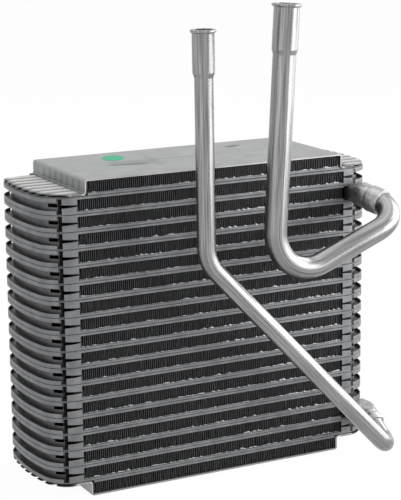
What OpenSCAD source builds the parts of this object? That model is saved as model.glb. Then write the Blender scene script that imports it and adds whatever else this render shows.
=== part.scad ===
// Evaporator core of the laminated, drawn-cup kind: flat tubes of two
// pressed plates each, stacked with corrugated fins between them, closed by
// a ribbed side plate at each end and fed through two formed pipes.
// X runs along the tubes, -Y faces the pipes and Z runs up the stack.
// The origin is the middle of the bottom side plate's outer face.

/* [Core] */
// Number of flat tubes in the stack
tube_count = 18; // [16:1:20]
// Distance from one tube to the next
tube_pitch = 11.8; // [11:0.1:13]
// Thickness of a flat tube, two plates together
tube_h = 3.4; // [2.8:0.1:4]
// Depth of the core, from edge to edge of the plates
core_depth = 91.4; // [84:0.2:110]
// Depth of the fins
fin_depth = 88.6; // [80:0.2:90]
// Length of the fins left of the middle
fin_reach_left = 106.4; // [102:0.1:106.6]
// Length of the fins right of the middle
fin_reach_right = 101.8; // [98:0.1:102]
// Distance from one fin fold to the next
fin_pitch = 4; // [3.2:0.1:8]
// Width of a fin's folded crest along the tube
fin_crest = 0.5; // [0.3:0.05:1]

/* [Tube plates] */
// Sheet thickness of the pressed plates
sheet = 0.6; // [0.4:0.05:0.8]
// Width of the flat brazed flange round a plate
flange_w = 3; // [2:0.1:4]
// Height and depth of the groove that each plate leaves at the seam
seam_h = 0.3; // [0.1:0.05:0.35]
seam_depth = 0.3; // [0.1:0.05:0.5]
// Distance by which the ends of a closing plate are drawn in
closing_inset = 0.9; // [0:0.1:2]
// Number of inner beads along a plate
bead_count = 5; // [0:1:7]
// Width of an inner bead
bead_w = 1.6; // [1:0.1:3]
// Distance from a platform's end back to the ends of the beads under it
bead_inset = 8; // [4:0.5:20]

/* [Tanks] */
// Distance from the middle to the left tank's end
tank_reach_left = 132.6; // [130:0.1:140]
// Distance from the middle to the right tank's end
tank_reach_right = 130.5; // [128:0.1:138]
// Radius of a tank's corners
tank_corner_r = 21; // [16:0.5:26]
// Radius of the bow of a tank's end
tank_bow_r = 153; // [120:1:300]
// Height of the turned lip round a tank, from the middle of a tube
tank_lip_h = 3; // [2:0.1:3.6]
// Distance from a plate's edge to the cup inside it
cup_inset = 5; // [4:0.1:7]
// Distance from the fins to the cups
cup_gap = 6; // [5:0.1:7]
// Radius of a cup's corners beside the fins
cup_corner_r = 13; // [10:0.5:14]
// Width of the web between a cup's two openings
cup_web = 8; // [6:0.5:14]
// Width of the rim round a cup's openings
cup_rim = 2.5; // [2:0.5:4]
// Distance from the fins to the shoulders where a channel narrows to a cup
shoulder_gap = 4; // [3.4:0.1:4.8]

/* [Tabs] */
// Height of a tab's tall side, from the middle of a tube
tab_h = 5.4; // [4.6:0.05:5.5]
// Fall of a tab's edge towards the tank
tab_fall = 0.7; // [0:0.1:1.5]
// Width of the left tabs
tab_w_left = 10.4; // [6:0.1:12]
// Width of the right tabs
tab_w_right = 7.9; // [5:0.1:9]
// Gap between the fins and the tabs
tab_gap = 0.6; // [0.4:0.1:1.5]
// Width of the notch between a left tab and the tank's lip
notch_w_left = 3.3; // [2:0.1:5]
// Width of the notch between a right tab and the tank's lip
notch_w_right = 2.3; // [1.5:0.1:4]

/* [Side plates] */
// Sheet thickness of the side plates
side_sheet = 1.2; // [0.8:0.1:1.6]
// Left end of the top side plate's platform
top_left = 101; // [94:0.1:103]
// Right end of the top side plate's platform
top_right = 101; // [94:0.1:101]
// Left end of the bottom side plate's platform
bottom_left = 101.4; // [94:0.1:103]
// Right end of the bottom side plate's platform
bottom_right = 98.8; // [94:0.1:101]
// Radius of the bend at a platform's ends
side_bend_r = 1.8; // [1.6:0.1:5]
// Number of ribs across each end of a side plate
rib_count = 9; // [5:1:11]
// Distance from one rib to the next
rib_pitch = 10.6; // [9:0.1:10.8]
// Width of a rib where it leaves the sheet
rib_w = 6.2; // [4:0.1:7]
// Height of a rib over the sheet
rib_h = 2.5; // [1:0.1:3]
// Width of a flute in a platform's end wall, at the wall's foot
flute_w = 5; // [3:0.1:6]
// Radius of the scallops between the ribs' tips
scallop_r = 2; // [1:0.1:2]
// Distance from the tubes' edge to a side plate's edge
side_inset = 0.3; // [0:0.1:1]
// Clearance between the bend at a platform's end and the fins under it
side_fin_gap = 0.3; // [0.1:0.1:2]

/* [Ports] */
// Distance from the middle to the ports
port_x = 118; // [114:0.5:120]
// Clearance between a port's far side and the channel's neck
port_clearance = 0.5; // [0.2:0.1:2]
// Width of a port's passage where it meets the cups
passage_w = 11; // [8:0.5:14]
// Distance from the core's face to a port's mouth
port_reach = 20; // [16:0.5:26]
// Number of the tube above the suction port
suction_tube = 2; // [2:1:4]
// Number of tubes below the liquid port
liquid_tube = 2; // [2:1:4]
// Fall of the suction port's mouth from the middle of its root
suction_drop = 1.8; // [0:0.1:3]
// Fall of the liquid port's mouth from the middle of its root
liquid_drop = 6; // [0:0.1:7]
// Downward slope of the suction port's mouth
suction_slope = 17; // [0:1:30]
// Downward slope of the liquid port's mouth
liquid_slope = 31; // [0:1:40]
// Turn of the suction port's mouth away from the core
suction_turn = 12; // [0:1:20]
// Turn of the liquid port's mouth away from the core
liquid_turn = 2; // [0:1:20]
// Wall of a port
port_wall = 1.6; // [1:0.1:2.5]
// Depth of the socket that a pipe seats in
socket_depth = 6; // [4:0.5:8]
// Length by which the suction port's collar goes on beyond its socket
suction_sleeve = 7.5; // [0:0.5:8]
// Length by which the liquid port's collar goes on beyond its socket
liquid_sleeve = 1; // [0:0.5:8]
// Braze gap round a pipe and round a port's root
braze_gap = 0.1; // [0.05:0.05:0.2]

/* [Suction pipe] */
// Outside diameter of the suction pipe
suction_d = 15.88; // [14:0.02:17]
// Straight length from the socket to the suction pipe's elbow
suction_stub = 15.8; // [15:0.1:24]
// Turn of the suction pipe's elbow round the socket
suction_elbow_turn = -155.9; // [-170:0.1:-140]
// Angle of the suction pipe's elbow
suction_elbow = 94.5; // [80:0.5:110]
// Radius of the suction pipe's elbow
suction_elbow_r = 17; // [14:0.5:24]
// Straight length between the suction pipe's bends
suction_run = 54.5; // [40:0.1:80]
// Turn of the suction pipe's low bend
suction_bend_turn = -69.8; // [-80:0.1:-60]
// Angle of the suction pipe's low bend
suction_bend = 114.8; // [100:0.1:120]
// Radius of the suction pipe's low bend
suction_bend_r = 27; // [18:0.5:34]
// Straight length from the low bend to the suction pipe's bell
suction_rise = 119.2; // [60:0.1:160]
// Length of the suction pipe's belled end
suction_bell = 30.2; // [15:0.1:40]
// Outside diameter of the suction pipe's belled end
suction_bell_d = 17.6; // [17.2:0.1:20]
// Outside diameter of the suction pipe's rim
suction_rim_d = 20.7; // [20.2:0.1:24]

/* [Liquid pipe] */
// Outside diameter of the liquid pipe
liquid_d = 12.7; // [10:0.1:14]
// Straight length from the socket to the liquid pipe's elbow
liquid_stub = 17; // [7:0.1:24]
// Turn of the liquid pipe's elbow round the socket
liquid_elbow_turn = 138.5; // [130:0.1:150]
// Angle of the liquid pipe's elbow
liquid_elbow = 113.2; // [105:0.1:120]
// Radius of the liquid pipe's elbow
liquid_elbow_r = 13; // [10:0.5:20]
// Straight length between the liquid pipe's bends
liquid_run = 192.3; // [150:0.1:210]
// Turn of the liquid pipe's high bend
liquid_bend_turn = -68.8; // [-80:0.1:-60]
// Angle of the liquid pipe's high bend
liquid_bend = 43.1; // [35:0.1:50]
// Radius of the liquid pipe's high bend
liquid_bend_r = 26; // [18:0.5:34]
// Straight length from the high bend to the liquid pipe's bell
liquid_rise = 113; // [60:0.1:140]
// Length of the liquid pipe's belled end
liquid_bell = 27.8; // [15:0.1:40]
// Outside diameter of the liquid pipe's belled end
liquid_bell_d = 15; // [14.2:0.1:17]
// Outside diameter of the liquid pipe's rim
liquid_rim_d = 17.5; // [17:0.1:20]

/* [Pipe walls and mouths] */
// Wall of both pipes
pipe_wall = 1.2; // [0.8:0.1:1.6]
// Length of the taper under a belled end
bell_taper = 4; // [2:0.5:8]
// Thickness of the rim at a mouth
rim_h = 2.2; // [1:0.1:4]

/* [Hidden] */
// A hair's breadth by which shapes lap where they are joined or cut
eps = 0.01;
// How far a cut runs past the face that it opens
cut = 1;
// Thickness of the slabs that a spout is stretched between
slab = 0.5;
// Step from a spout up to its collar, and the collar's lap over the spout
collar_step = 1.2;
collar_lap = 1.5;
// Thinning of a pipe's wall in its bends, at each face, and the lap of the
// straight lengths over the bends
bend_thinning = 0.04;
bend_lap = 0.4;
// Lap of a spout over the plates' edge, outwards and inwards
root_lap = 0.5;
// A length beyond the whole core, and the fineness of round shapes
big = 500;
round_fn = 72;
// Fineness of the round shapes that a spout is stretched between
hull_fn = 32;
plate_half = tube_h / 2;
fin_h = tube_pitch - tube_h;
half_depth = core_depth / 2;
stack_h = (tube_count - 1) * tube_pitch + tube_h;
core_h = stack_h + 2 * (fin_h + side_sheet);
// Distance from a platform's end to the fins and the channel under it
end_gap = side_bend_r + side_fin_gap;
// Height of a side plate, from the flange that its ends lie on
side_h = plate_half - sheet + fin_h + side_sheet;
channel_y = half_depth - flange_w;
cup_h = tube_pitch / 2;
// Distance from the middle to the beads' ends
bead_reach = min(top_left, top_right, bottom_left, bottom_right) - bead_inset;
// Height of a port's passage where it meets the cups
passage_h = tube_pitch - 2 * (plate_half + sheet);
// Half the width of the neck between a channel and a cup
neck_y = half_depth - cup_inset - cup_corner_r;
// Distance from the middle of the core's depth to a port's far side
port_corner_y = neck_y + port_clearance;
// Radius of the round that shapes a rib, and the height of its centre
rib_r = (pow(rib_w / 2, 2) + pow(rib_h, 2)) / (2 * rib_h);
rib_z = side_sheet + rib_h - rib_r;
// How far the flutes' centre lies behind the face of the end wall
flute_back = side_sheet / 2;
// Spread of the wedge that picks the bow out of its circle
bow_spread = 1.2;
plate_colour = "#8f9092";
fin_colour = "#4c4d4f";
side_colour = "#b4b5b6";
pipe_colour = "#b3b4b5";

// Tubes are counted from the top, as they show from the front
function tube_z(k) = core_h - side_sheet - fin_h - plate_half - (k - 1) * tube_pitch;
function two_digits(k) = k < 10 ? str("0", k) : str(k);
function plate_name(k, half) = str("tube_", two_digits(k), "_", half);
function fin_name(k) = str("fin_row_", two_digits(k));

// The liquid port hangs between these two tubes near the bottom
liquid_upper_tube = tube_count - liquid_tube;

// Places along a plate, measured from the middle towards one end.
// side is -1 for the left tank and 1 for the right one.
function reach(side) = side < 0 ? tank_reach_left : tank_reach_right;
function fin_reach(side) = side < 0 ? fin_reach_left : fin_reach_right;
function tab_w(side) = side < 0 ? tab_w_left : tab_w_right;
function notch_w(side) = side < 0 ? notch_w_left : notch_w_right;
function tab_start(side) = fin_reach(side) + tab_gap;
function tab_end(side) = tab_start(side) + tab_w(side);
function lip_start(side) = tab_end(side) + notch_w(side);
function cup_start(side) = fin_reach(side) + cup_gap;
function shoulder(side) = fin_reach(side) + shoulder_gap;

// Centres of the arcs that shape a tank's end
corner_y = half_depth - tank_corner_r;
function bow_x(side) = reach(side) - tank_bow_r;
function corner_x(side) = bow_x(side)
    + sqrt(pow(tank_bow_r - tank_corner_r, 2) - pow(corner_y, 2));
// Distance from the middle to a tank's edge at depth y
function edge_x(side, y) = abs(y) < corner_y
    ? bow_x(side) + sqrt(pow(tank_bow_r, 2) - pow(y, 2))
    : corner_x(side) + sqrt(pow(tank_corner_r, 2) - pow(abs(y) - corner_y, 2));

// Flips a shape that is drawn for the right end over to the given end
module at_end(side) {
    if (side < 0) mirror([1, 0, 0]) children();
    else children();
}

// One end of a plate's outline, drawn in from the edge by inset
module end_outline(side, inset) {
    cx = corner_x(side);
    bx = bow_x(side);
    wedge = tank_bow_r / (tank_bow_r - tank_corner_r) * bow_spread;
    translate([0, -half_depth + inset])
        square([cx, core_depth - 2 * inset]);
    for (s = [-1, 1]) translate([cx, s * corner_y])
        circle(r = tank_corner_r - inset, $fn = round_fn);
    intersection() {
        translate([bx, 0]) circle(r = tank_bow_r - inset, $fn = 4 * round_fn);
        polygon([
            [cx, -corner_y],
            [bx + (cx - bx) * wedge, -corner_y * wedge],
            [bx + (cx - bx) * wedge, corner_y * wedge],
            [cx, corner_y]
        ]);
    }
}

// Outline of a whole plate
module plate_outline(inset) {
    for (side = [-1, 1]) at_end(side) end_outline(side, inset);
}

// Outline of one cup: the tank's shape with rounded corners beside the fins
module cup_outline(side, inset) {
    x0 = cup_start(side) + inset;
    y0 = half_depth - cup_inset - inset;
    r = cup_corner_r - inset;
    intersection() {
        end_outline(side, cup_inset + inset);
        union() {
            translate([x0 + r, -half_depth]) square([big, core_depth]);
            translate([x0, -y0 + r]) square([r + eps, 2 * (y0 - r)]);
            for (s = [-1, 1]) translate([x0 + r, s * (y0 - r)]) circle(r = r, $fn = round_fn);
        }
    }
}

// The turned edge round a plate, from the middle of the tube out to h
module lip(h) {
    linear_extrude(h) difference() {
        plate_outline(0);
        plate_outline(sheet);
    }
}

// A tab is the lip made taller, with an edge that falls towards the tank
module tab_zone(side) {
    at_end(side) rotate([90, 0, 0]) translate([0, 0, -half_depth - eps])
        linear_extrude(core_depth + 2 * eps) polygon([
            [tab_start(side), 0],
            [tab_end(side), 0],
            [tab_end(side), tab_h - tab_fall],
            [tab_start(side), tab_h]
        ]);
}

module core_zone(x0, x1) {
    translate([x0, -half_depth - eps, 0])
        cube([x1 - x0, core_depth + 2 * eps, plate_half]);
}

module tank_zone(side) {
    at_end(side) translate([lip_start(side), -half_depth - eps, 0])
        cube([big, core_depth + 2 * eps, tank_lip_h]);
}

// All the turned edges of a plate. A plate that closes the stack has them
// beside the fins alone, and one beside a port has none at the port.
module plate_edges(cups, pan, port_side) {
    difference() {
        intersection() {
            lip(tab_h);
            union() {
                if (cups) core_zone(-tab_start(-1), tab_start(1));
                else core_zone(-pan[0], pan[1]);
                if (cups) for (side = [-1, 1]) {
                    tab_zone(side);
                    tank_zone(side);
                }
            }
        }
        if (port_side) translate([tab_start(1) - eps, -half_depth - cut, -cut])
            cube([big, half_depth - port_corner_y + cut, big]);
    }
}

// A box along a plate, from x0 to x1 and to y on both sides of the middle
module channel(x0, x1, y, z0, z1) {
    translate([x0, -y, z0]) cube([x1 - x0, 2 * y, z1 - z0]);
}

// The flat sheet of a plate. A closing plate's ends are drawn in, so that a
// groove is left under the side plate's ends.
module plate_sheet(cups, pan) {
    linear_extrude(sheet) plate_outline(cups ? 0 : closing_inset);
    if (!cups) channel(-pan[0], pan[1], half_depth, 0, sheet);
}

// The groove that two plates leave along their seam
module seam_groove() {
    translate([0, 0, -eps]) linear_extrude(seam_h + eps) difference() {
        plate_outline(-cut);
        plate_outline(seam_depth);
    }
}

// A pressed plate with its brazed face at z = 0 and its cups upwards.
// cups is false for the two plates that close the tanks, and pan is how far
// a plate's channel reaches to the left and right. port_side is true where
// a port enters the right tank. With cups, the channel narrows to a neck
// and opens into them.
module plate(cups, pan, port_side) {
    void_h = plate_half - sheet;
    difference() {
        union() {
            plate_sheet(cups, pan);
            channel(-pan[0], pan[1], channel_y, 0, plate_half);
            if (cups) for (side = [-1, 1]) at_end(side) {
                channel(shoulder(side) - eps, cup_start(side) + sheet, neck_y, 0, plate_half);
                linear_extrude(cup_h) cup_outline(side, 0);
            }
            plate_edges(cups, pan, port_side);
        }
        difference() {
            union() {
                channel(-pan[0] + sheet, pan[1] - sheet, channel_y - sheet, -eps, void_h);
                if (cups) for (side = [-1, 1]) at_end(side) {
                    channel(shoulder(side) - 2 * sheet, cup_start(side) + 2 * sheet,
                        neck_y - sheet, -eps, void_h);
                    translate([0, 0, -eps])
                        linear_extrude(cup_h - sheet + eps) cup_outline(side, sheet);
                }
            }
            inner_beads(void_h);
        }
        seam_groove();
        if (cups) for (side = [-1, 1]) at_end(side) cup_openings(side);
        if (port_side) port_window();
    }
}

// Beads pressed inwards along the tube, where the two plates are brazed
module inner_beads(h) {
    pitch = 2 * (channel_y - sheet) / (bead_count + 1);
    if (bead_count > 0) for (i = [1:bead_count])
        translate([-bead_reach, -channel_y + sheet + i * pitch - bead_w / 2, -2 * eps])
            cube([2 * bead_reach, bead_w, h + 3 * eps]);
}

// Two openings through a cup's top, with a web between them
module cup_openings(side) {
    x0 = cup_start(side) + cup_rim;
    x1 = edge_x(side, corner_y) - cup_inset - cup_rim;
    r = (x1 - x0) / 2;
    y_far = half_depth - cup_inset - cup_rim - r;
    for (s = [-1, 1]) translate([(x0 + x1) / 2, 0, cup_h - 2 * sheet])
        linear_extrude(3 * sheet) {
            for (y = [cup_web / 2 + r, y_far]) translate([0, s * y])
                circle(r = r, $fn = round_fn);
            translate([-r, s > 0 ? cup_web / 2 + r : -y_far])
                square([2 * r, y_far - cup_web / 2 - r]);
        }
}

// The slot through which a port opens into the cups
module port_window() {
    translate([port_x - passage_w / 2, -half_depth, cup_h - passage_h / 2])
        cube([passage_w, half_depth - corner_y, passage_h]);
}

function has_port(k, half) = half == "lower"
    ? (k == suction_tube || k == liquid_upper_tube)
    : (k == suction_tube + 1 || k == liquid_upper_tube + 1);

// One half of tube k
module tube_plate(k, half) {
    closed = (k == 1 && half == "upper") || (k == tube_count && half == "lower");
    pan = !closed ? [shoulder(-1), shoulder(1)]
        : half == "upper" ? [top_left - end_gap, top_right - end_gap]
        : [bottom_left - end_gap, bottom_right - end_gap];
    color(plate_colour) translate([0, 0, tube_z(k)])
        mirror([0, 0, half == "upper" ? 0 : 1])
            plate(!closed, pan, has_port(k, half));
}

// A corrugated strip from x0 to x1, folded between two tubes h apart. Each
// fold has a flat crest outside and a sharp valley inside.
module fin_strip(x0, x1, h) {
    folds = round((x1 - x0 - fin_crest) / fin_pitch);
    step = (x1 - x0 - fin_crest) / folds;
    valley = h / 2 - fin_crest * h / (2 * step);
    top_side = [for (i = [0:folds]) each i % 2 == 0
        ? [[i * step - fin_crest / 2, h / 2], [i * step + fin_crest / 2, h / 2]]
        : (i == folds ? [[i * step + fin_crest / 2, -h / 2]] : [[i * step, -valley]])];
    low_side = [for (i = [folds:-1:0]) each i % 2 == 1
        ? [[i * step + fin_crest / 2, -h / 2], [i * step - fin_crest / 2, -h / 2]]
        : (i == folds || i == 0 ? [] : [[i * step, valley]])];
    translate([x0 + fin_crest / 2, fin_depth / 2, 0]) rotate([90, 0, 0])
        linear_extrude(fin_depth) polygon(concat(top_side, low_side));
}

// Fin row between tube k and the next one down
module fin_row(k) {
    color(fin_colour) translate([0, 0, tube_z(k) - tube_pitch / 2])
        fin_strip(-fin_reach(-1), fin_reach(1), fin_h);
}

// The two short fin rows under the side plates' platforms
module outer_fin_rows() {
    color(fin_colour) {
        translate([0, 0, core_h - side_sheet - fin_h / 2])
            fin_strip(-top_left + end_gap, top_right - end_gap, fin_h);
        translate([0, 0, side_sheet + fin_h / 2]) mirror([0, 0, 1])
            fin_strip(-bottom_left + end_gap, bottom_right - end_gap, fin_h);
    }
}

// Section of a side plate along X: a raised platform with rounded ends,
// walls down to the end tube and flat ends that lie on its flange at z = 0
module side_section(left, right) {
    r = side_bend_r;
    difference() {
        union() {
            translate([-tank_reach_left, 0]) square([tank_reach_left + tank_reach_right, side_sheet]);
            translate([-left, 0]) square([left + right, side_h - r]);
            translate([-left + r, side_h - r - eps]) square([left + right - 2 * r, r + eps]);
            for (x = [-left + r, right - r]) translate([x, side_h - r]) circle(r = r, $fn = round_fn);
        }
        translate([-left + side_sheet, -eps])
            square([left + right - 2 * side_sheet, side_h - side_sheet + eps - (r - side_sheet)]);
        translate([-left + r, 0]) square([left + right - 2 * r, side_h - side_sheet]);
        for (x = [-left + r, right - r])
            translate([x, side_h - r]) circle(r = r - side_sheet, $fn = round_fn);
    }
}

function rib_y(i) = (i - (rib_count + 1) / 2) * rib_pitch;
// Distance from the middle to the round that ends rib i
function rib_tip(side, i) = edge_x(side, abs(rib_y(i))) - rib_w / 2;

// Plan of a side plate, scalloped between the tips of the ribs
module side_plan() {
    difference() {
        plate_outline(side_inset);
        for (side = [-1, 1]) at_end(side) for (i = [1:rib_count - 1]) {
            y = rib_y(i) + rib_pitch / 2;
            translate([edge_x(side, y), y]) circle(r = scallop_r, $fn = round_fn);
        }
    }
}

// Ribs along a flat end, each of which goes on up the platform's end wall
// as a flute that dies out at the bend
module side_ribs(side, wall_x) {
    flute_h = side_h - side_bend_r - side_sheet;
    for (i = [1:rib_count]) translate([0, rib_y(i), 0]) {
        translate([wall_x - side_sheet, 0, rib_z]) rotate([0, 90, 0])
            cylinder(r = rib_r, h = rib_tip(side, i) - wall_x + side_sheet, $fn = round_fn);
        translate([rib_tip(side, i), 0, rib_z]) sphere(r = rib_r, $fn = round_fn);
        translate([wall_x - flute_back, 0, side_sheet - eps])
            cylinder(d1 = flute_w, d2 = flute_back, h = flute_h, $fn = round_fn);
    }
}

// A side plate that lies on the tube with its platform upwards
module side_plate(left, right) {
    intersection() {
        translate([0, half_depth, 0]) rotate([90, 0, 0])
            linear_extrude(core_depth) side_section(left, right);
        translate([0, 0, -cut]) linear_extrude(side_h + 2 * cut) side_plan();
    }
    intersection() {
        union() {
            at_end(-1) side_ribs(-1, left);
            at_end(1) side_ribs(1, right);
        }
        difference() {
            translate([0, 0, side_sheet / 2]) linear_extrude(side_h) side_plan();
            translate([-left + side_sheet, -half_depth - cut, -cut])
                cube([left + right - 2 * side_sheet, core_depth + 2 * cut, side_h + 2 * cut]);
        }
    }
}

module top_side_plate() {
    color(side_colour) translate([0, 0, core_h - side_h]) side_plate(top_left, top_right);
}

module bottom_side_plate() {
    color(side_colour) translate([0, 0, side_h]) mirror([0, 0, 1])
        side_plate(bottom_left, bottom_right);
}

function port_mid(k) = tube_z(k) - tube_pitch / 2;

// Puts what is drawn along +Z at the shoulder of a port's socket, facing
// out of its mouth: away from the core, down by slope and aside by turn
module in_socket(k, drop, slope, turn) {
    translate([port_x, -half_depth - port_reach, port_mid(k) - drop])
        rotate([0, 0, turn]) rotate([90 + slope, 0, 0]) translate([0, 0, -socket_depth])
            children();
}

// A rounded slab across a port's passage at depth y
module passage_slab(y, z) {
    translate([port_x, y, z]) rotate([90, 0, 0]) linear_extrude(slab) {
        for (s = [-1, 1])
            translate([s * (passage_w - passage_h) / 2, 0]) circle(d = passage_h, $fn = hull_fn);
        square([passage_w - passage_h, passage_h], center = true);
    }
}

// Plan of the corner that a port's root fills, drawn in by inset from the
// plates' edge
module port_corner(inset) {
    intersection() {
        end_outline(1, inset);
        translate([shoulder(1) + braze_gap, -half_depth - root_lap])
            square([big, half_depth + root_lap - port_corner_y - braze_gap]);
    }
}

// A port: its root fills the corner between two plates and seats on the
// cups, and its spout tapers to a round socket for the pipe
module port(k, drop, slope, turn, pipe_d, sleeve) {
    mid = port_mid(k);
    root_h = tube_pitch - 2 * sheet;
    socket_d = pipe_d + 2 * braze_gap;
    collar_d = socket_d + 2 * port_wall;
    bore_d = pipe_d - 2 * pipe_wall;
    difference() {
        union() {
            translate([0, 0, mid - root_h / 2]) linear_extrude(root_h) difference() {
                port_corner(0);
                cup_outline(1, -braze_gap);
            }
            difference() {
                hull() {
                    translate([0, 0, mid - root_h / 2]) linear_extrude(root_h) difference() {
                        port_corner(-root_lap);
                        end_outline(1, root_lap);
                    }
                    in_socket(k, drop, slope, turn) translate([0, 0, -slab])
                        cylinder(d = collar_d - collar_step, h = slab, $fn = hull_fn);
                }
                translate([0, 0, mid - big / 2]) linear_extrude(big) end_outline(1, root_lap);
                for (s = [-1, 1]) translate([0, 0, mid + s * (root_h + big) / 2])
                    linear_extrude(big, center = true) end_outline(1, -braze_gap);
            }
            in_socket(k, drop, slope, turn) translate([0, 0, -collar_lap])
                cylinder(d = collar_d, h = socket_depth + sleeve + collar_lap, $fn = round_fn);
        }
        hull() {
            passage_slab(-corner_y, mid);
            passage_slab(-half_depth + flange_w, mid);
            in_socket(k, drop, slope, turn)
                translate([0, 0, -slab])
                    cylinder(d = bore_d - collar_step, h = slab, $fn = hull_fn);
        }
        in_socket(k, drop, slope, turn) {
            cylinder(d = socket_d, h = socket_depth + sleeve + cut, $fn = round_fn);
            translate([0, 0, -collar_lap]) cylinder(d = bore_d, h = socket_depth, $fn = round_fn);
        }
    }
}

module suction_port() {
    color(pipe_colour)
        port(suction_tube, suction_drop, suction_slope, suction_turn, suction_d, suction_sleeve);
}

module liquid_port() {
    color(pipe_colour)
        port(liquid_upper_tube, liquid_drop, liquid_slope, liquid_turn, liquid_d, liquid_sleeve);
}

// A straight length of pipe, up from z = 0. It laps over a bend that
// comes before it or after it.
module straight(length, d, lap_before, lap_after) {
    h = lap_before + length + lap_after;
    translate([0, 0, -lap_before]) difference() {
        cylinder(d = d, h = h, $fn = round_fn);
        translate([0, 0, -cut])
            cylinder(d = d - 2 * pipe_wall, h = h + 2 * cut, $fn = round_fn);
    }
}

// A bend of radius r that starts along +Z and leans over to +X by angle.
// Its wall is drawn a little thinner than the straight pipe's.
module bend(angle, r, d) {
    translate([r, 0, 0]) rotate([90, 0, 180]) rotate_extrude(angle = angle, $fn = 2 * round_fn)
        translate([r, 0]) difference() {
            circle(d = d - 2 * bend_thinning, $fn = round_fn);
            circle(d = d - 2 * (pipe_wall - bend_thinning), $fn = round_fn);
        }
}

// Puts what follows a bend at the bend's far end
module after_bend(angle, r) {
    translate([r, 0, 0]) rotate([0, angle, 0]) translate([-r, 0, 0]) children();
}

// The belled end of a pipe, up from z = 0, with a rim round its mouth
module bell(length, d, bell_d, rim_d) {
    r1 = bell_d / 2;
    r2 = rim_d / 2;
    top = length + bell_taper;
    edge = rim_h / 3;
    rotate_extrude($fn = round_fn) polygon([
        [d / 2 - pipe_wall, 0],
        [d / 2, 0],
        [r1, bell_taper],
        [r1, top - rim_h],
        [r2 - edge, top - rim_h],
        [r2, top - rim_h + edge],
        [r2, top - edge],
        [r2 - edge, top],
        [r1 - pipe_wall, top],
        [r1 - pipe_wall, bell_taper]
    ]);
}

// A pipe made by its bending schedule: each step is a straight length,
// then a turn round the pipe, then a bend by an angle over a radius. The
// last straight length ends in the bell.
module pipe(steps, rise, d, bell, bell_d, rim_d, i = 0) {
    if (i < len(steps)) {
        straight(steps[i][0], d, i == 0 ? 0 : bend_lap, bend_lap);
        translate([0, 0, steps[i][0]]) rotate([0, 0, steps[i][1]]) {
            bend(steps[i][2], steps[i][3], d);
            after_bend(steps[i][2], steps[i][3])
                pipe(steps, rise, d, bell, bell_d, rim_d, i + 1);
        }
    } else {
        straight(rise, d, bend_lap, 0);
        translate([0, 0, rise]) bell(bell, d, bell_d, rim_d);
    }
}

module suction_pipe() {
    color(pipe_colour) in_socket(suction_tube, suction_drop, suction_slope, suction_turn)
        pipe([
            [suction_stub, suction_elbow_turn, suction_elbow, suction_elbow_r],
            [suction_run, suction_bend_turn, suction_bend, suction_bend_r]
        ], suction_rise, suction_d, suction_bell, suction_bell_d, suction_rim_d);
}

module liquid_pipe() {
    color(pipe_colour) in_socket(liquid_upper_tube, liquid_drop, liquid_slope, liquid_turn)
        pipe([
            [liquid_stub, liquid_elbow_turn, liquid_elbow, liquid_elbow_r],
            [liquid_run, liquid_bend_turn, liquid_bend, liquid_bend_r]
        ], liquid_rise, liquid_d, liquid_bell, liquid_bell_d, liquid_rim_d);
}

for (k = [1:tube_count]) {
    tube_plate(k, "upper");
    tube_plate(k, "lower");
}
for (k = [1:tube_count - 1]) fin_row(k);
outer_fin_rows();
top_side_plate();
bottom_side_plate();
suction_port();
liquid_port();
suction_pipe();
liquid_pipe();
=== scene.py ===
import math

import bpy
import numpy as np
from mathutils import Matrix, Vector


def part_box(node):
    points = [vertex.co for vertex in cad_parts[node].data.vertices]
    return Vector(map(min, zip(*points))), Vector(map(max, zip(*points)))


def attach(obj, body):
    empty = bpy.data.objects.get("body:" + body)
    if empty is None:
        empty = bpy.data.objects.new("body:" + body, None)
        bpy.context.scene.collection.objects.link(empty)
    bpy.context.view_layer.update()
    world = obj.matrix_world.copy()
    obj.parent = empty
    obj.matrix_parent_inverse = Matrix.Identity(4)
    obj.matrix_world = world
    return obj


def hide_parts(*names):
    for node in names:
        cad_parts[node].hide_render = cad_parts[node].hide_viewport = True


bl_info = {
    "name": "Evaporator Core Dresser",
    "version": (1, 0, 0),
    "blender": (4, 5, 0),
    "location": "View3D > Sidebar > Evaporator",
    "description": "Dresses a laminated evaporator core: fins, side plates, pipes, finishes, stage",
    "category": "Object",
}

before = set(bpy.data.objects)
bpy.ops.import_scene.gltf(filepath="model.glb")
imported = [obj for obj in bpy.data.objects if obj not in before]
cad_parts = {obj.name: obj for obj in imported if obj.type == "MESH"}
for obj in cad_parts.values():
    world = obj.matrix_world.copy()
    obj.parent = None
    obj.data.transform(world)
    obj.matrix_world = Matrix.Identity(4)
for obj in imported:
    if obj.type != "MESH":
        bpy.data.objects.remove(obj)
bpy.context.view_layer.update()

BODY = "root"
MM = 0.001               # shapes are worked out in millimetres, and put_mesh scales them

# Names of the nodes, grouped by what they are on the core
PLATE_NODES = sorted(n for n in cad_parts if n.startswith("tube_"))
FIN_NODES = sorted(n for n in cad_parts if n.startswith("fin_row_"))
OUTER_FINS = "outer_fin_rows"


def node_box(node):
    """Lowest and highest corner of a CAD node, in millimetres, as arrays."""
    low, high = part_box(node)
    return np.array(low) / MM, np.array(high) / MM


# Sizes of the core in millimetres, as the source has them
HALF_DEPTH = 45.7
TUBE_PITCH = 11.8
FIN_HEIGHT = 8.4
TANK_REACH_LEFT = 132.6
TANK_REACH_RIGHT = 130.5
TANK_CORNER_R = 21
TANK_BOW_R = 153


class SidePlate:
    """One side plate's place and its sizes along X, in millimetres. An upright
    one's platform rises from its flanges, and spare is the distance from its
    walls to the outer fins."""

    def __init__(self, node, wall_left, wall_right, upright, spare):
        low, high = node_box(node)
        self.node = node
        self.wall_left, self.wall_right = wall_left, wall_right
        self.height = high[2] - low[2]
        self.flange_z = low[2] if upright else high[2]
        self.up = 1 if upright else -1
        self.fins_left = -wall_left + spare
        self.fins_right = wall_right - spare


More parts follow.
